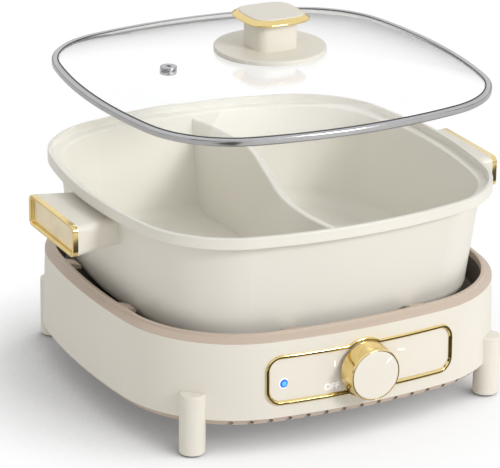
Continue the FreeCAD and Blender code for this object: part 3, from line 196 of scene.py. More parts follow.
finishes = {
    "cream_plastic": mouldedPlastic("satinCream", creams["housing"], 0.34, 1900.0, 0.000015),
    "pot_coating": mouldedPlastic("ceramicCoat", creams["pot"], 0.3, 1300.0, 0.000012, 0.015, 0.12),
    "panel_cream": mouldedPlastic("panelCream", creams["panel"], 0.16, 700.0, 0.000006, 0.015, 0.5),
    "taupe_plastic": mouldedPlastic("taupeTrim", creams["taupe"], 0.38, 1700.0, 0.00003),
    "dark_tray": mouldedPlastic("trayCoat", creams["tray"], 0.42, 2400.0, 0.00005, 0.1),
    "black_plastic": mouldedPlastic("blackMoulding", paint(38, 37, 36), 0.4, 1800.0, 0.00004, 0.12),
    "rubber_pad": mouldedPlastic("rubberPad", paint(70, 67, 64), 0.75, 1400.0, 0.00006, 0.12),
    "board_green": mouldedPlastic("boardLacquer", paint(38, 92, 60), 0.3, 1500.0, 0.00003, 0.15),
    "wire": mouldedPlastic("wireJacket", paint(188, 60, 48), 0.42, 1500.0, 0.00003, 0.1),
    "silicone": mouldedPlastic("clearSilicone", paint(214, 212, 206), 0.5, 1300.0, 0.00003, 0.05),
    "gold": polishedMetal("polishedGold", golds["frame"], 0.11),
    "handle_gold": polishedMetal("handleGold", golds["frame"], 0.12),
    "inset_gold": polishedMetal("brushedInset", golds["inset"], 0.36, (90.0, 60.0, 2600.0), 0.000012, 0.86),
    "lid_steel": polishedMetal("rimSteel", golds["steel"], 0.14, (500.0, 500.0, 2600.0), 0.000004, 0.92),
    "inner_steel": polishedMetal("innerSteel", paint(178, 178, 175), 0.34, (700.0, 700.0, 200.0), 0.00002, 0.8),
    "screw_steel": polishedMetal("screwSteel", paint(190, 190, 186), 0.26, None, 0.00001, 0.85),
    "sensor_metal": polishedMetal("sensorMetal", paint(196, 196, 192), 0.3, None, 0.00001, 0.85),
}


def turnedPlate():
    # cast plate faced on a lathe: fine rings about the pot's axis
    colour = paint(168, 166, 162)
    material, tree, shader = newFinish("turnedPlate", colour, 0.38, 1.0)
    spot = placeOf(tree, (1, 1, 1), (0, potAxisY * mm, 0))
    rings = tree.nodes.new("ShaderNodeTexWave")
    rings.wave_type = "RINGS"
    rings.rings_direction = "Z"
    rings.inputs["Scale"].default_value = 260.0
    rings.inputs["Distortion"].default_value = 0.4
    tree.links.new(spot, rings.inputs["Vector"])
    stain = noiseOf(tree, spot, 30.0, 4.0)
    tint = tintOf(tree, rangeOf(tree, stain, 0.0, 1.0), shaded(colour, 0.72), colour)
    tree.links.new(tint, shader.inputs["Base Color"])
    tree.links.new(rangeOf(tree, stain, 0.3, 0.48), shader.inputs["Roughness"])
    tree.links.new(bumpOf(tree, rings.outputs["Fac"], 0.00003, 0.7), shader.inputs["Normal"])
    return material


def clearGlass():
    # tempered glass; light passes to what is under it
    material, tree, shader = newFinish("clearGlass", (1.0, 1.0, 1.0, 1.0), 0.0)
    shader.inputs["Transmission Weight"].default_value = 1.0
    shader.inputs["IOR"].default_value = 1.46
    spot = placeOf(tree)
    tree.links.new(rangeOf(tree, noiseOf(tree, spot, 25.0, 2.0), 0.0, 0.02), shader.inputs["Roughness"])
    tree.links.new(bumpOf(tree, noiseOf(tree, spot, 9.0, 1.0), 0.00002, 0.5), shader.inputs["Normal"])
    cloud = rangeOf(tree, noiseOf(tree, spot, 6.0, 1.0), 0.0, 1.0)
    tree.links.new(tintOf(tree, cloud, (1, 1, 1, 1), (0.985, 0.995, 0.99, 1)), shader.inputs["Base Color"])
    clear = tree.nodes.new("ShaderNodeBsdfTransparent")
    clear.inputs["Color"].default_value = (0.95, 0.96, 0.955, 1)
    path = tree.nodes.new("ShaderNodeLightPath")
    mixInto(tree, path.outputs["Is Shadow Ray"], shader.outputs[0], clear.outputs[0], "Material Output")
    return material


lampLook = {"x": -65.6, "z": 55.3, "radius": 3.4, "core": 1.0, "edge": 2.7}


def lampLens():
    # blue lamp: pale in the middle, deep blue at the edge
    material, tree, shader = newFinish("blueLamp", paint(40, 120, 240), 0.12)
    centre = (lampLook["x"] * mm, 0, lampLook["z"] * mm)
    far = distanceOf(tree, placeOf(tree, (1, 0, 1), centre))
    near = rangeOf(tree, far, 0.0, 1.0, lampLook["core"] * mm, lampLook["edge"] * mm)
    tint = tintOf(tree, near, paint(96, 184, 250), paint(14, 92, 214))
    speck = noiseOf(tree, placeOf(tree), 900.0, 2.0)
    tree.links.new(rangeOf(tree, speck, 0.08, 0.18), shader.inputs["Roughness"])
    tree.links.new(tint, shader.inputs["Base Color"])
    tree.links.new(tint, shader.inputs["Emission Color"])
    shader.inputs["Emission Strength"].default_value = 0.55
    return material


finishes["plate_metal"] = turnedPlate()
finishes["glass"] = clearGlass()
finishes["lamp"] = lampLens()
finishes["marks"] = mouldedPlastic("whitePrint", creams["marks"], 0.4, 900.0, 0.00001, 0.01)
# the white print glows a little though it is no lamp: painted light that keeps it bright white
printGlowShader = finishes["marks"].node_tree.nodes["Principled BSDF"]
printGlowShader.inputs["Emission Color"].default_value = creams["marks"]
printGlowShader.inputs["Emission Strength"].default_value = 0.25

for name, piece in nodes.items():
    for holder in piece.material_slots:
        wanted = holder.material.name.split(".")[0] if holder.material else ""
        if wanted in finishes:
            holder.material = finishes[wanted]
        else:
            print("no finish for", name, wanted)
print("finishes ready:", len(finishes))


# making pieces


def meshPiece(name, vertices, faces, finish, body, creaseAngle=32.0):
    mesh = bpy.data.meshes.new(name)
    mesh.from_pydata([Vector(v) * mm for v in vertices], [], faces)
    piece = bpy.data.objects.new(name, mesh)
    bpy.context.scene.collection.objects.link(piece)
    tidyMesh(mesh, creaseAngle)
    mesh.materials.append(finishes[finish])
    if body:  # a piece that waits for its modifier comes without one
        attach(piece, body)
    return piece


def tidyMesh(mesh, creaseAngle=32.0, outward=True):
    work = bmesh.new()
    work.from_mesh(mesh)
    bmesh.ops.remove_doubles(work, verts=work.verts, dist=0.000001)
    bmesh.ops.delete(work, geom=[edge for edge in work.edges if not edge.link_faces], context="EDGES")
    if outward:
        bmesh.ops.recalc_face_normals(work, faces=work.faces)
    work.to_mesh(mesh)
    work.free()
    mesh.shade_smooth()
    mesh.set_sharp_from_angle(angle=math.radians(creaseAngle))


def softCorners(corners, closed, steps=4):
    # (u, v, radius) corners of a section, each radius turned into a short arc
    points = []
    count = len(corners)
    for index, (u, v, radius) in enumerate(corners):
        here = Vector((u, v))
        if radius <= 0 or (not closed and index in (0, count - 1)):
            points.append((u, v))
            continue
        before = Vector(corners[index - 1][:2]) - here
        after = Vector(corners[(index + 1) % count][:2]) - here
        half = before.angle(after) / 2
        reach = min(radius / math.tan(half), 0.48 * before.length, 0.48 * after.length)
        radius = reach * math.tan(half)
        before.normalize()
        after.normalize()
        centre = here + (before + after).normalized() * (radius / math.sin(half))
        start = here + before * reach - centre
        end = here + after * reach - centre
        sweep = start.angle_signed(end)
        for step in range(steps + 1):
            turn = Matrix.Rotation(-sweep * step / steps, 2)
            spot = centre + turn @ start
            points.append((spot.x, spot.y))
    return points


def turnedPiece(name, corners, place, finish, body, axis="z", segments=96, steps=4):
    # a section of (radius, height) corners turned about an axis; axis "front" points to -Y
    section = softCorners(corners, True, steps)
    vertices = []
    for turn in range(segments):
        angle = 2 * math.pi * turn / segments
        for radius, height in section:
            u, v = radius * math.cos(angle), radius * math.sin(angle)
            if axis == "front":
                vertices.append((place[0] + u, place[1] - height, place[2] + v))
            else:
                vertices.append((place[0] + u, place[1] + v, place[2] + height))
    faces = gridFaces(segments, len(section), True, True)
    return meshPiece(name, vertices, faces, finish, body)


def gridFaces(columns, rows, wrapColumns, wrapRows):
    faces = []
    for column in range(columns if wrapColumns else columns - 1):
        other = (column + 1) % columns
        for row in range(rows if wrapRows else rows - 1):
            above = (row + 1) % rows
            faces.append((column * rows + row, other * rows + row, other * rows + above, column * rows + above))
    return faces


def capFaces(columns, rows):
    # flat ends over the first and the last row of a grid
    return [
        tuple(column * rows for column in range(columns)),
        tuple(column * rows + rows - 1 for column in reversed(range(columns))),
    ]


# the outlines that the whole pot is drawn on

outlines = {
    "housing": {"halfX": 160.0, "halfY": 157.0, "sideRadius": 545.0, "cornerRadius": 96.5},
    "pot": {"halfX": 157.4, "halfY": 154.6, "sideRadius": 405.0, "cornerRadius": 82.0},
}


def arcsOf(shape, inset):
    halfX, halfY = shape["halfX"] - inset, shape["halfY"] - inset
    long, short = shape["sideRadius"] - inset, shape["cornerRadius"] - inset
    backX, backY, reach = long - halfX, long - halfY, long - short
    slope = backY / backX
    shift = (backY**2 - backX**2) / (2 * backX)
    a, b, c = slope**2 + 1, 2 * (slope * shift + backY), shift**2 + backY**2 - reach**2
    cornerY = (-b + math.sqrt(b * b - 4 * a * c)) / (2 * a)
    cornerX = slope * cornerY + shift
    side = math.atan2(cornerY, cornerX + backX)
    front = math.atan2(cornerX, cornerY + backY)
    right = math.pi / 2
    return [
        (-backX, 0, long, -side, side),
        (cornerX, cornerY, short, side, right - front),
        (0, -backY, long, right - front, right + front),
        (-cornerX, cornerY, short, right + front, math.pi - side),
        (backX, 0, long, math.pi - side, math.pi + side),
        (-cornerX, -cornerY, short, math.pi + side, 3 * right - front),
        (0, backY, long, 3 * right - front, 3 * right + front),
        (cornerX, -cornerY, short, 3 * right + front, 4 * right - side),
    ]


def loopAround(shape, inset, sideSteps=20, cornerSteps=16):
    points = []
    for index, (x, y, radius, start, end) in enumerate(arcsOf(shape, inset)):
        steps = cornerSteps if index % 2 else sideSteps
        for step in range(steps):
            angle = start + (end - start) * step / steps
            points.append((x + radius * math.cos(angle), y + radius * math.sin(angle) + potAxisY))
    return points


draft = {"spread": 1.8, "top": 89.0, "height": 60.4}  # the housing's wall widens downwards


def frontY(x, z, proud):
    # Y of the surface that stands proud of the housing's front wall
    flare = draft["spread"] * (draft["top"] - z) / draft["height"]
    long = outlines["housing"]["sideRadius"] + flare + proud
    half = outlines["housing"]["halfY"] + flare + proud
    return potAxisY - (half - long + math.sqrt(long**2 - x**2))


def sweptGrid(shape, section):
    # vertices of a section carried round an outline, and how many columns they make
    loops = [loopAround(shape, inset) for inset, z in section]
    columns = len(loops[0])
    vertices = []
    for column in range(columns):
        for row, (inset, z) in enumerate(section):
            vertices.append((loops[row][column][0], loops[row][column][1], z))
    return vertices, columns


def sweptPiece(name, shape, corners, finish, body, steps=4):
    section = softCorners(corners, True, steps)
    vertices, columns = sweptGrid(shape, section)
    faces = gridFaces(columns, len(section), True, True)
    return meshPiece(name, vertices, faces, finish, body)


# control panel: the frame has a rounded outside and a slope down to the panel

frameSizes = {"halfWidth": 80.0, "halfHeight": 19.75, "corner": 12.0, "bulge": 23.6, "z": 58.2}


def frameLoop(inset):
    halfWidth = frameSizes["halfWidth"] - inset
    halfHeight = frameSizes["halfHeight"] - inset
    corner = frameSizes["corner"] - inset
    bulge = frameSizes["bulge"] - inset
    meet = math.sqrt(bulge**2 - halfHeight**2)
    turn = math.atan2(halfHeight, meet)
    points = []

    def straight(x1, z1, x2, z2, steps):
        for step in range(steps):
            share = step / steps
            points.append((x1 + (x2 - x1) * share, z1 + (z2 - z1) * share))

    def arc(x, z, radius, start, end, steps):
        for step in range(steps):
            angle = start + (end - start) * step / steps
            points.append((x + radius * math.cos(angle), z + radius * math.sin(angle)))

    for side in (1, -1):
        first = 0 if side > 0 else math.pi
        quarter = first + math.pi / 2
        endX, topZ = side * halfWidth, side * halfHeight
        cornerX, cornerZ = side * (halfWidth - corner), side * (halfHeight - corner)
        straight(endX, -cornerZ, endX, cornerZ, 6)
        arc(cornerX, cornerZ, corner, first, quarter, 12)
        straight(cornerX, topZ, side * meet, topZ, 16)
        arc(0, 0, bulge, first + turn, first + math.pi - turn, 28)
        straight(-side * meet, topZ, -cornerX, topZ, 16)
        arc(-cornerX, cornerZ, corner, quarter, first + math.pi, 12)
    return points


def controlFrame():
    corners = [
        (0.0, -0.6, 0), (0.0, 1.2, 0.9), (0.8, 1.55, 0.5), (2.1, 1.5, 0.45),
        (3.3, 0.1, 0.2), (3.4, -2.4, 0), (0.9, -2.4, 0), (0.9, -0.6, 0),
    ]
    section = softCorners(corners, True)
    loops = [frameLoop(inset) for inset, proud in section]
    vertices = []
    for column in range(len(loops[0])):
        for row, (inset, proud) in enumerate(section):
            x, z = loops[row][column]
            z += frameSizes["z"]
            vertices.append((x, frontY(x, z, proud), z))
    faces = gridFaces(len(loops[0]), len(section), True, True)
    piece = meshPiece("controlFrame", vertices, faces, "gold", "base", 40.0)
    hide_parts("control_bezel")
    return piece


controlFrame()

# knob: gold skirt, a thin raised rim round the cream face

knobSizes = {"z": 58.2, "back": 160.755, "depth": 15.7, "backRadius": 21.5, "frontRadius": 20.5}


def knobPieces():
    back = knobSizes["back"]
    front = back + knobSizes["depth"]
    seat = front - 2.2
    place = (0, potAxisY, knobSizes["z"])
    r1, r2 = knobSizes["backRadius"], knobSizes["frontRadius"]
    skirt = turnedPiece(
        "knobSkirt",
        [
            (r1 - 1.7, back, 0), (r1, back, 0.35), (r1 - 0.05, back + 1.6, 0.5),
            (r2 + 0.15, front - 1.5, 0.3), (r2 - 0.55, front - 0.15, 0.3),
            (r2 - 0.85, front, 0.12), (r2 - 1.25, front - 0.1, 0.12), (r2 - 1.3, seat, 0),
            (0, seat, 0), (0, seat - 10.2, 0),
            (6.0, seat - 10.2, 0), (6.0, seat - 1.6, 0.8), (r2 - 2.7, seat - 1.6, 1.0),
        ],
        place, "gold", "knob", "front", 128,
    )
    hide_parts("knob_skirt")
    face = turnedPiece(
        "knobFace",
        [
            (0, seat, 0), (r2 - 1.4, seat, 0), (r2 - 1.4, front - 0.3, 0.3),
            (r2 - 2.4, front - 0.14, 0.4), (0, front - 0.12, 0),
        ],
        place, "panel_cream", "knob", "front", 128,
    )
    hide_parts("knob_face")
    return front


knobFront = knobPieces()
print("control frame and knob made")

# handle ends: a rolled gold frame round a sunk brushed inset

handleSizes = {
    "halfWidth": 41.0, "low": 134.0, "high": 159.0, "corner": 5.5,
    "foot": 180.5, "depth": 4.5, "lip": 2.7, "insetDepth": 1.5,
}


def handleLoop(inset):
    sizes = handleSizes
    halfWidth, halfHeight = sizes["halfWidth"] - inset, (sizes["high"] - sizes["low"]) / 2 - inset
    corner = max(sizes["corner"] - inset, 0.6)
    points = []
    for index, (sideY, sideZ) in enumerate(((1, 1), (-1, 1), (-1, -1), (1, -1))):
        for step in range(11):
            angle = math.pi / 2 * (index + step / 10)
            points.append((
                sideY * (halfWidth - corner) + corner * math.cos(angle),
                sideZ * (halfHeight - corner) + corner * math.sin(angle),
            ))
    return points


def handleGrid(side, section):
    middle = (handleSizes["low"] + handleSizes["high"]) / 2
    loops = [handleLoop(inset) for inset, out in section]
    columns = len(loops[0])
    vertices = []
    for column in range(columns):
        for row, (inset, out) in enumerate(section):
            y, z = loops[row][column]
            vertices.append((side * (handleSizes["foot"] + out), potAxisY + y, middle + z))
    return vertices, columns


def handleEnd(side, name):
    lip, depth, sunk = handleSizes["lip"], handleSizes["depth"], handleSizes["insetDepth"]
    corners = [
        (0.0, 0.0, 0), (0.0, depth, 1.1), (1.5, depth, 0.5),
        (lip - 0.3, depth - 0.7, 0.4), (lip, 1.0, 0), (lip, 0.0, 0),
    ]
    section = softCorners(corners, True, 5)
    vertices, columns = handleGrid(side, section)
    faces = gridFaces(columns, len(section), True, True)
    ring = meshPiece("handleFrame" + name, vertices, faces, "handle_gold", "pot", 40.0)
    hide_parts("handle_frame_" + name.lower())
    face = [(lip - 0.05, 0.0), (lip - 0.05, sunk - 0.25), (lip + 0.25, sunk), (lip + 3.0, sunk + 0.1)]
    vertices, columns = handleGrid(side, face)
    faces = gridFaces(columns, len(face), True, False) + capFaces(columns, len(face))
    inset = meshPiece("handleInset" + name, vertices, faces, "inset_gold", "pot", 40.0)
    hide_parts("handle_panel_" + name.lower())


handleEnd(-1, "Left")
handleEnd(1, "Right")
print("handle ends made")

# lid rim: folded steel whose lip covers the glass edge

rimSizes = {"z": 240.1, "insetFromPot": 3.9}


def lidRim():
    lidZ = rimSizes["z"]
    shape = {key: size - rimSizes["insetFromPot"] for key, size in outlines["pot"].items()}
    rim = sweptPiece(
        "lidRim", shape,
        [
            (0.9, lidZ, 0.5), (0.0, lidZ + 0.9, 0.6), (0.0, lidZ + 4.6, 1.2), (1.3, lidZ + 5.7, 0.8),
            (4.4, lidZ + 5.3, 0.3), (4.6, lidZ + 4.6, 0), (4.6, lidZ, 0.3),
        ],
        "lid_steel", "lid",
    )
    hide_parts("lid_band")
    # dark strip that shows as a thin line where the lip ends on the glass: a painted reflection, standing in
    # for the dark line the lip's edge reflects there
    sweptPiece(
        "lidPaintedEdgeLine", shape,
        [(4.5, lidZ + 4.9, 0), (4.5, lidZ + 5.5, 0.1), (5.3, lidZ + 5.66, 0.15), (5.5, lidZ + 5.0, 0)],
        "black_plastic", "lid", 3,
    )


lidRim()

# lid glass: an even dome on the pot's outline, round at the crown and square at the rim

glassSizes = {
    "edgeInset": 1.6, "edgeZ": 244.4, "crown": 17.7, "thickness": 3.6,
    "power": 2.6,  # how long the dome stays flat before it drops
    "rings": 30,
}


def lidGlass():
    sizes = glassSizes
    edge = loopAround(outlines["pot"], rimSizes["insetFromPot"] + sizes["edgeInset"], 30, 30)
    reach = sum(math.hypot(x, y - potAxisY) for x, y in edge) / len(edge)
    tops, lows = [], []
    for ring in range(sizes["rings"]):
        share = 1 - ring / sizes["rings"]
        z = sizes["edgeZ"] + sizes["crown"] * (1 - share ** sizes["power"])
        square = share**1.5
        line = []
        for x, y in edge:
            far = math.hypot(x, y - potAxisY)
            radius = (far * square + reach * (1 - square)) * share / far
            line.append((x * radius, potAxisY + (y - potAxisY) * radius))
        tops.append([(x, y, z) for x, y in line])
        lows.append([(x, y, z - sizes["thickness"]) for x, y in line])
    count, rings = len(edge), sizes["rings"]
    rows = list(reversed(lows)) + tops
    vertices = [rows[row][column] for column in range(count) for row in range(2 * rings)]
    crownZ = sizes["edgeZ"] + sizes["crown"]
    vertices += [(0, potAxisY, crownZ - sizes["thickness"]), (0, potAxisY, crownZ)]
    faces = gridFaces(count, 2 * rings, True, False)
    for column in range(count):
        first, other = column * 2 * rings, (column + 1) % count * 2 * rings
        last = 2 * rings - 1
        faces.append((first, other, len(vertices) - 2))
        faces.append((first + last, other + last, len(vertices) - 1))
    glass = meshPiece("lidGlass", vertices, faces, "glass", "lid", 50.0)
    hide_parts("lid_glass")


lidGlass()
print("lid rim and glass made")

# prints on the panel and the knob

printSizes = {
    "proud": 0.06,
    "letters": 7.0,
    "lettersAt": (-26.9, 46.9),
    # x, z, width, length and turn in degrees
    "leftMark": (-24.4, 64.8, 1.2, 4.6, 0),
    "rightMark": (32.6, 65.6, 1.4, 6.4, 78),
    "pointer": (10.9, 10.6, 1.1, 5.6, -45),
}


def ontoPanel(mesh):
    # bends a flat print on to the curved panel and gives it a hair of thickness
    for vertex in mesh.vertices:
        x, z = vertex.co.x / mm, vertex.co.z / mm
        lift = printSizes["proud"] if vertex.co.y < 0 else -0.1
        vertex.co.y = frontY(x, z, -0.2 + lift) * mm


def panelPrint(piece, name):
    piece.name = name
    piece.data.name = name
    ontoPanel(piece.data)
    tidyMesh(piece.data, 30.0)
    piece.data.materials.clear()
    piece.data.materials.append(finishes["marks"])
    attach(piece, "base")


def offWord():
    curve = bpy.data.curves.new("offWord", "FONT")
    curve.body = "OFF"
    curve.align_x = "CENTER"
    curve.align_y = "CENTER"
    curve.size = printSizes["letters"] * mm
    curve.offset = 0.00012
    curve.extrude = 0.0002
    word = bpy.data.objects.new("offWordCurve", curve)
    bpy.context.scene.collection.objects.link(word)
    bpy.context.view_layer.update()
    mesh = bpy.data.meshes.new_from_object(word.evaluated_get(bpy.context.evaluated_depsgraph_get()))
    bpy.data.objects.remove(word)
    x, z = printSizes["lettersAt"]
    mesh.transform(Matrix.Rotation(math.pi / 2, 4, "X"))
    mesh.transform(Matrix.Translation((x * mm, 0, z * mm)))
    piece = bpy.data.objects.new("offWord", mesh)
    bpy.context.scene.collection.objects.link(piece)
    panelPrint(piece, "offWord")


def roundedBar(width, length, turn=0.0):
    # outline of a small bar with round ends, its length along v
    points = []
    for end in (1, -1):
        for step in range(9):
            angle = math.pi * step / 8 + (0 if end > 0 else math.pi)
            u = width / 2 * math.cos(angle)
            v = width / 2 * math.sin(angle) + end * (length - width) / 2
            points.append((u * math.cos(turn) - v * math.sin(turn), u * math.sin(turn) + v * math.cos(turn)))
    return points


def lampRing():
    # thin white collar round the lamp
    place = (lampLook["x"], frontY(lampLook["x"], lampLook["z"], -0.2), lampLook["z"])
    radius = lampLook["radius"]
    turnedPiece(
        "lampCollar",
        [(radius, -0.4, 0), (radius + 0.9, -0.4, 0), (radius + 0.9, 0.25, 0.2), (radius, 0.35, 0.15)],
        place, "marks", "base", "front", 48,
    )
    lens = turnedPiece(
        "lampLens",
        [
            (0, -3.0, 0), (radius + 0.9, -3.0, 0), (radius + 0.9, -2.1, 0), (radius - 0.05, -2.1, 0),
            (radius - 0.05, 0.3, 0.5), (1.6, 0.75, 1.5), (0, 0.85, 0),
        ],
        place, "lamp", "base", "front", 48,
    )
    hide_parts("led_lens")


def barPiece(name, x, z, loop, back, front, body, curved):
    count = len(loop)
    vertices = [(x + u, front, z + v) for u, v in loop] + [(x + u, back, z + v) for u, v in loop]
    faces = [tuple(range(count)), tuple(reversed(range(count, 2 * count)))]
    faces += [(i, (i + 1) % count, (i + 1) % count + count, i + count) for i in range(count)]
    piece = meshPiece(name, vertices, faces, "marks", body, 30.0)
    if curved:
        ontoPanel(piece.data)
    return piece


offWord()
lampRing()
for key in ("leftMark", "rightMark"):
    x, z, width, length, turn = printSizes[key]
    barPiece(key, x, z, roundedBar(width, length, math.radians(turn)), 1, -1, "base", True)
pointerY = potAxisY - knobFront
x, z, width, length, turn = printSizes["pointer"]
barPiece(
    "knobPointer", x, knobSizes["z"] + z, roundedBar(width, length, math.radians(turn)),
    pointerY + 0.4, pointerY + 0.02, "knob", False,
)
print("prints made")

# bottom cover: one moulding with a row of vent notches through its slanted edge

coverSizes = {
    "bottom": 22.6, "top": 28.6, "wall": 2.2, "insetTop": 0.8, "insetBottom": 4.0, "lap": 18.0,
    "pitch": 15.0, "notchWidth": 3.6, "notchCount": 15,
    "notchDepth": 12.0, "notchHeight": 3.9, "notchTilt": 32.0,
}


def coverNotches(piece, finish):
    sizes = coverSizes
    tree = bpy.data.node_groups.new("coverNotches", "GeometryNodeTree")
    tree.is_modifier = True
    face = tree.interface
    face.new_socket("Geometry", in_out="INPUT", socket_type="NodeSocketGeometry")
    sockets = {}
    for label, value, kind in (
        ("Notch pitch", sizes["pitch"] * mm, "NodeSocketFloat"),
        ("Notch width", sizes["notchWidth"] * mm, "NodeSocketFloat"),
        ("Notch depth", sizes["notchDepth"] * mm, "NodeSocketFloat"),
        ("Notch height", sizes["notchHeight"] * mm, "NodeSocketFloat"),
        ("Edge distance", outlines["housing"]["halfY"] * mm, "NodeSocketFloat"),
        ("Edge radius", outlines["housing"]["sideRadius"] * mm, "NodeSocketFloat"),
        ("Notch tilt", math.radians(sizes["notchTilt"]), "NodeSocketFloat"),
        ("Notch count", sizes["notchCount"], "NodeSocketInt"),
    ):
        socket = face.new_socket(label, in_out="INPUT", socket_type=kind)
        socket.default_value = value
        sockets[label] = (socket.identifier, value)
    finishSocket = face.new_socket("Finish", in_out="INPUT", socket_type="NodeSocketMaterial")
    face.new_socket("Geometry", in_out="OUTPUT", socket_type="NodeSocketGeometry")
    nodesNew, link = tree.nodes.new, tree.links.new
    given = nodesNew("NodeGroupInput")
    result = nodesNew("NodeGroupOutput")

    def maths(operation, *values):
        return mathsOf(tree, operation, *values)

    joinAll = nodesNew("GeometryNodeJoinGeometry")
    for side in (-1, 1):
        line = nodesNew("GeometryNodeMeshLine")
        link(given.outputs["Notch count"], line.inputs["Count"])
        indexNode = nodesNew("GeometryNodeInputIndex")
        middle = maths("MULTIPLY", maths("SUBTRACT", given.outputs["Notch count"], 1), 0.5)
        x = maths("MULTIPLY", maths("SUBTRACT", indexNode.outputs[0], middle), given.outputs["Notch pitch"])
        edgeSquare = maths("POWER", given.outputs["Edge radius"], 2)
        sag = maths("SQRT", maths("SUBTRACT", edgeSquare, maths("POWER", x, 2)))
        centre = maths("SUBTRACT", given.outputs["Edge distance"], given.outputs["Edge radius"])
        half = maths("ADD", centre, sag)
        y = maths("MULTIPLY_ADD", half, side, potAxisY * mm)
        spot = nodesNew("ShaderNodeCombineXYZ")
        link(x, spot.inputs["X"])
        link(y, spot.inputs["Y"])
        spot.inputs["Z"].default_value = sizes["bottom"] * mm
        setPlace = nodesNew("GeometryNodeSetPosition")
        link(line.outputs["Mesh"], setPlace.inputs["Geometry"])
        link(spot.outputs[0], setPlace.inputs["Position"])
        cutter = nodesNew("GeometryNodeMeshCube")
        size = nodesNew("ShaderNodeCombineXYZ")
        link(given.outputs["Notch width"], size.inputs["X"])
        link(maths("MULTIPLY", given.outputs["Notch depth"], 2.0), size.inputs["Y"])
        link(maths("MULTIPLY", given.outputs["Notch height"], 2.0), size.inputs["Z"])
        link(size.outputs[0], cutter.inputs["Size"])
        instance = nodesNew("GeometryNodeInstanceOnPoints")
        link(setPlace.outputs[0], instance.inputs["Points"])
        link(cutter.outputs["Mesh"], instance.inputs["Instance"])
        turn = nodesNew("ShaderNodeCombineXYZ")
        lean = maths("ARCSINE", maths("DIVIDE", x, given.outputs["Edge radius"]))
        link(maths("MULTIPLY", lean, -side), turn.inputs["Z"])
        link(given.outputs["Notch tilt"], turn.inputs["Y"])
        turned = nodesNew("FunctionNodeEulerToRotation")
        link(turn.outputs[0], turned.inputs[0])
        link(turned.outputs[0], instance.inputs["Rotation"])
        link(instance.outputs[0], joinAll.inputs[0])
    realize = nodesNew("GeometryNodeRealizeInstances")
    link(joinAll.outputs[0], realize.inputs[0])
    cut = nodesNew("GeometryNodeMeshBoolean")
    cut.operation = "DIFFERENCE"
    link(given.outputs[0], cut.inputs["Mesh 1"])
    link(realize.outputs[0], cut.inputs["Mesh 2"])
    settle = nodesNew("GeometryNodeRealizeInstances")
    link(cut.outputs[0], settle.inputs[0])
    dress = nodesNew("GeometryNodeSetMaterial")
    link(settle.outputs[0], dress.inputs["Geometry"])
    link(given.outputs["Finish"], dress.inputs["Material"])
    link(dress.outputs[0], result.inputs[0])

    modifier = piece.modifiers.new("coverNotches", "NODES")
    modifier.node_group = tree
    for identifier, value in sockets.values():
        modifier[identifier] = value
    modifier[finishSocket.identifier] = finishes[finish]
    settled(piece)


def settled(piece):
    # bakes the piece's modifiers into its mesh and drops them
    bpy.context.view_layer.update()
    graph = bpy.context.evaluated_depsgraph_get()
    mesh = bpy.data.meshes.new_from_object(piece.evaluated_get(graph))
    piece.modifiers.clear()
    old = piece.data
    piece.data = mesh
    mesh.name = piece.name
    bpy.data.meshes.remove(old)


def bottomCover():
    sizes = coverSizes
    floor = sizes["bottom"] + sizes["wall"]
    step = sizes["wall"] * (sizes["insetBottom"] - sizes["insetTop"]) / (sizes["top"] - sizes["bottom"])
    corners = [
        (sizes["insetBottom"] + sizes["lap"], sizes["bottom"], 0),
        (sizes["insetBottom"], sizes["bottom"], 1.0),
        (sizes["insetTop"], sizes["top"], 0.3),
        (sizes["insetTop"] + sizes["wall"], sizes["top"], 0.3),
        (sizes["insetBottom"] + sizes["wall"] - step, floor, 0.5),
        (sizes["insetBottom"] + sizes["lap"], floor, 0),
    ]
    section = softCorners(corners, False, 3)
    vertices, columns = sweptGrid(outlines["housing"], section)
    faces = gridFaces(columns, len(section), True, False) + capFaces(columns, len(section))
    piece = meshPiece("bottomCover", vertices, faces, "taupe_plastic", None, 30.0)
    coverNotches(piece, "taupe_plastic")
    tidyMesh(piece.data, 30.0, False)
    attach(piece, "base")
    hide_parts("bottom_cover")


bottomCover()
print("bottom cover made")

# sensor spring: a copy of the spring from model.glb, put in place of the original


def sensorSpring():
    mesh = nodes["sensor_spring"].data.copy()
    piece = bpy.data.objects.new("sensorSpring", mesh)
    bpy.context.scene.collection.objects.link(piece)
    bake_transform(piece)
    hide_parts("sensor_spring")


sensorSpring()
print("sensor spring made")

# stage, light and camera


def stagePiece(name, corners, material, hidden=False):
    mesh = bpy.data.meshes.new(name)
    mesh.from_pydata(corners, [], [tuple(range(len(corners)))])
    mesh.materials.append(material)
    piece = bpy.data.objects.new(name, mesh)
    bpy.context.scene.collection.objects.link(piece)
    if hidden:
        piece.visible_camera = False
        piece.visible_transmission = False
        piece.visible_diffuse = False
        piece.visible_shadow = False
    return piece


floorLook = {
    "reach": 0.17,  # how far the painted soft shadow spreads
    "lean": (0.8, -0.42, 0.43),  # the painted soft shadow falls away from this side
    "contactShade": 0.04,  # reach of the painted dark contact shadow under the pot
    "fadeFrom": 0.19, "fadeTo": 0.26,
}


def paintedShadeOf(tree, distance):
    # occlusion mask from which the floor's painted shadow is made
    near = tree.nodes.new("ShaderNodeAmbientOcclusion")
    near.inputs["Distance"].default_value = distance
    near.samples = 12
    return near


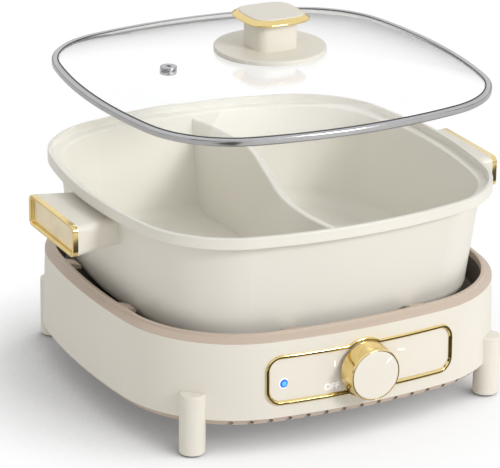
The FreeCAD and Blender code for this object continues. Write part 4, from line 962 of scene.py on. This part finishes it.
def floorFinish():
    # matt white floor that turns to plain white away from the pot; it keeps the real shadow in part, but near
    # the pot most of what the camera sees is painted shadow: a glow dimmed by two occlusion masks, one leaned
    # to one side
    material, tree, shader = newFinish("paleFloor", paint(249, 248, 247), 0.6)
    shader.inputs["Specular IOR Level"].default_value = 0.15
    paintedShadowGlow = tree.nodes.new("ShaderNodeEmission")
    near = paintedShadeOf(tree, floorLook["reach"])
    lean = tree.nodes.new("ShaderNodeCombineXYZ")
    for axis, value in zip("XYZ", floorLook["lean"]):
        lean.inputs[axis].default_value = value
    tree.links.new(lean.outputs[0], near.inputs["Normal"])
    contactShade = paintedShadeOf(tree, floorLook["contactShade"])
    # painted shadow: the glow is dimmed by the soft leaned mask and by the dark contact mask under the pot
    soft = rangeOf(tree, near.outputs["AO"], 0.06, 1.0, 0.2, 0.75)
    dark = rangeOf(tree, contactShade.outputs["AO"], 0.3, 1.0, 0.0, 0.72)
    tree.links.new(mathsOf(tree, "MULTIPLY", soft, dark), paintedShadowGlow.inputs["Strength"])
    far = distanceOf(tree, placeOf(tree, (1, 1, 0), (0.0, 0.01, 0)))
    fade = rangeOf(tree, far, 0.8, 1.0, floorLook["fadeFrom"], floorLook["fadeTo"])
    path = tree.nodes.new("ShaderNodeLightPath")
    seen = mathsOf(tree, "MAXIMUM", path.outputs["Is Camera Ray"], path.outputs["Is Transmission Ray"])
    both = mathsOf(tree, "MULTIPLY", seen, fade)
    mixInto(tree, both, shader.outputs[0], paintedShadowGlow.outputs[0], "Material Output")
    return material


stagePiece("floor", [(-6, -6, 0), (6, -6, 0), (6, 6, 0), (-6, 6, 0)], floorFinish())
darkCard = newFinish("darkCard", paint(30, 28, 26), 0.9)[0]
cards = {  # only polished pieces mirror these
    "cardLeft": [(-1.5, -1.9, 0.0), (-1.1, -0.5, 0.0), (-1.1, -0.5, 0.7), (-1.5, -1.9, 0.7)],
    # this card lies on the floor in front of the pot as painted shade: polished pieces mirror it as the
    # shadowed floor there
    "shadeCardLow": [(-0.3, -0.42, 0.002), (0.5, -0.42, 0.002), (0.5, -0.2, 0.002), (-0.3, -0.2, 0.002)],
    "cardRim": [(-0.6, -1.15, 0.002), (-0.28, -1.15, 0.002), (-0.28, -0.62, 0.002), (-0.6, -0.62, 0.002)],
    "cardAbove": [(-0.75, -1.0, 1.38), (-0.2, -1.0, 1.38), (-0.2, -0.72, 1.6), (-0.75, -0.72, 1.6)],
    "cardRight": [(1.5, -1.3, 0.0), (1.7, -0.5, 0.0), (1.7, -0.5, 0.5), (1.5, -1.3, 0.5)],
}
for name, corners in cards.items():
    stagePiece(name, corners, darkCard, True)

worldLook = {"soft": 0.62, "horizon": 0.3, "horizonFrom": 0.02, "horizonTo": 0.3}


def studioWorld():
    world = bpy.data.worlds.new("studio")
    bpy.context.scene.world = world
    world.use_nodes = True
    tree = world.node_tree
    seen = tree.nodes["Background"]
    seen.inputs["Color"].default_value = (1, 1, 1, 1)
    soft = tree.nodes.new("ShaderNodeBackground")
    soft.inputs["Color"].default_value = (1.0, 0.985, 0.96, 1)
    soft.inputs["Strength"].default_value = worldLook["soft"]
    path = tree.nodes.new("ShaderNodeLightPath")
    # what metal mirrors is dim along the horizon and white above it
    sky = tree.nodes.new("ShaderNodeTexCoord")
    height = tree.nodes.new("ShaderNodeSeparateXYZ")
    tree.links.new(sky.outputs["Generated"], height.inputs[0])
    horizon = worldLook["horizonFrom"], worldLook["horizonTo"]
    rise = rangeOf(tree, height.outputs["Z"], worldLook["horizon"], 1.0, *horizon)
    notGlossy = mathsOf(tree, "SUBTRACT", 1.0, path.outputs["Is Glossy Ray"])
    tree.links.new(mathsOf(tree, "MAXIMUM", rise, notGlossy), seen.inputs["Strength"])
    direct = mathsOf(tree, "MAXIMUM", path.outputs["Is Camera Ray"], path.outputs["Is Glossy Ray"])
    clear = mathsOf(tree, "MAXIMUM", direct, path.outputs["Is Transmission Ray"])
    mixInto(tree, clear, soft.outputs[0], seen.outputs[0], "World Output")


def softBox(name, place, aim, side, watts, mirrored):
    light = bpy.data.lights.new(name, "AREA")
    light.shape = "RECTANGLE"
    light.size = light.size_y = side
    light.energy = watts
    box = bpy.data.objects.new(name, light)
    bpy.context.scene.collection.objects.link(box)
    way = Vector(place) - Vector(aim)
    box.matrix_world = Matrix.Translation(place) @ way.to_track_quat("Z", "Y").to_matrix().to_4x4()
    box.visible_glossy = mirrored


studioWorld()
softBox("keyBox", (1.3, -3.1, 2.0), (0, 0, 0.12), 0.9, 62, True)
softBox("fillBox", (1.2, 1.6, 2.6), (0, 0, 0.1), 1.2, 4, False)

shot = {
    "azimuth": -28.097, "elevation": 20.788, "roll": 0.994, "distance": 2.3474, "aimZ": 0.12,
    "lens": 215.55, "shiftX": -0.0341, "shiftY": -0.0251,
}


def shotCamera():
    turn, rise, roll = (math.radians(shot[key]) for key in ("azimuth", "elevation", "roll"))
    right = Vector((math.cos(turn), math.sin(turn), 0))
    back = Vector((math.sin(turn) * math.cos(rise), -math.cos(turn) * math.cos(rise), math.sin(rise)))
    up = back.cross(right)
    xAxis = right * math.cos(roll) + up * math.sin(roll)
    yAxis = up * math.cos(roll) - right * math.sin(roll)
    place = Vector((0, potAxisY * mm, shot["aimZ"])) + back * shot["distance"]
    camera = bpy.data.cameras.new("shot")
    camera.sensor_width = 36.0
    camera.lens = shot["lens"]
    camera.shift_x = shot["shiftX"]
    camera.shift_y = shot["shiftY"]
    camera.clip_start = 0.01
    holder = bpy.data.objects.new("shot", camera)
    bpy.context.scene.collection.objects.link(holder)
    turned = Matrix((xAxis, yAxis, back)).transposed().to_4x4()
    holder.matrix_world = Matrix.Translation(place) @ turned
    bpy.context.scene.camera = holder


shotCamera()
bpy.context.scene.view_settings.view_transform = "Standard"
print("stage, light and camera set")

bpy.context.view_layer.update()
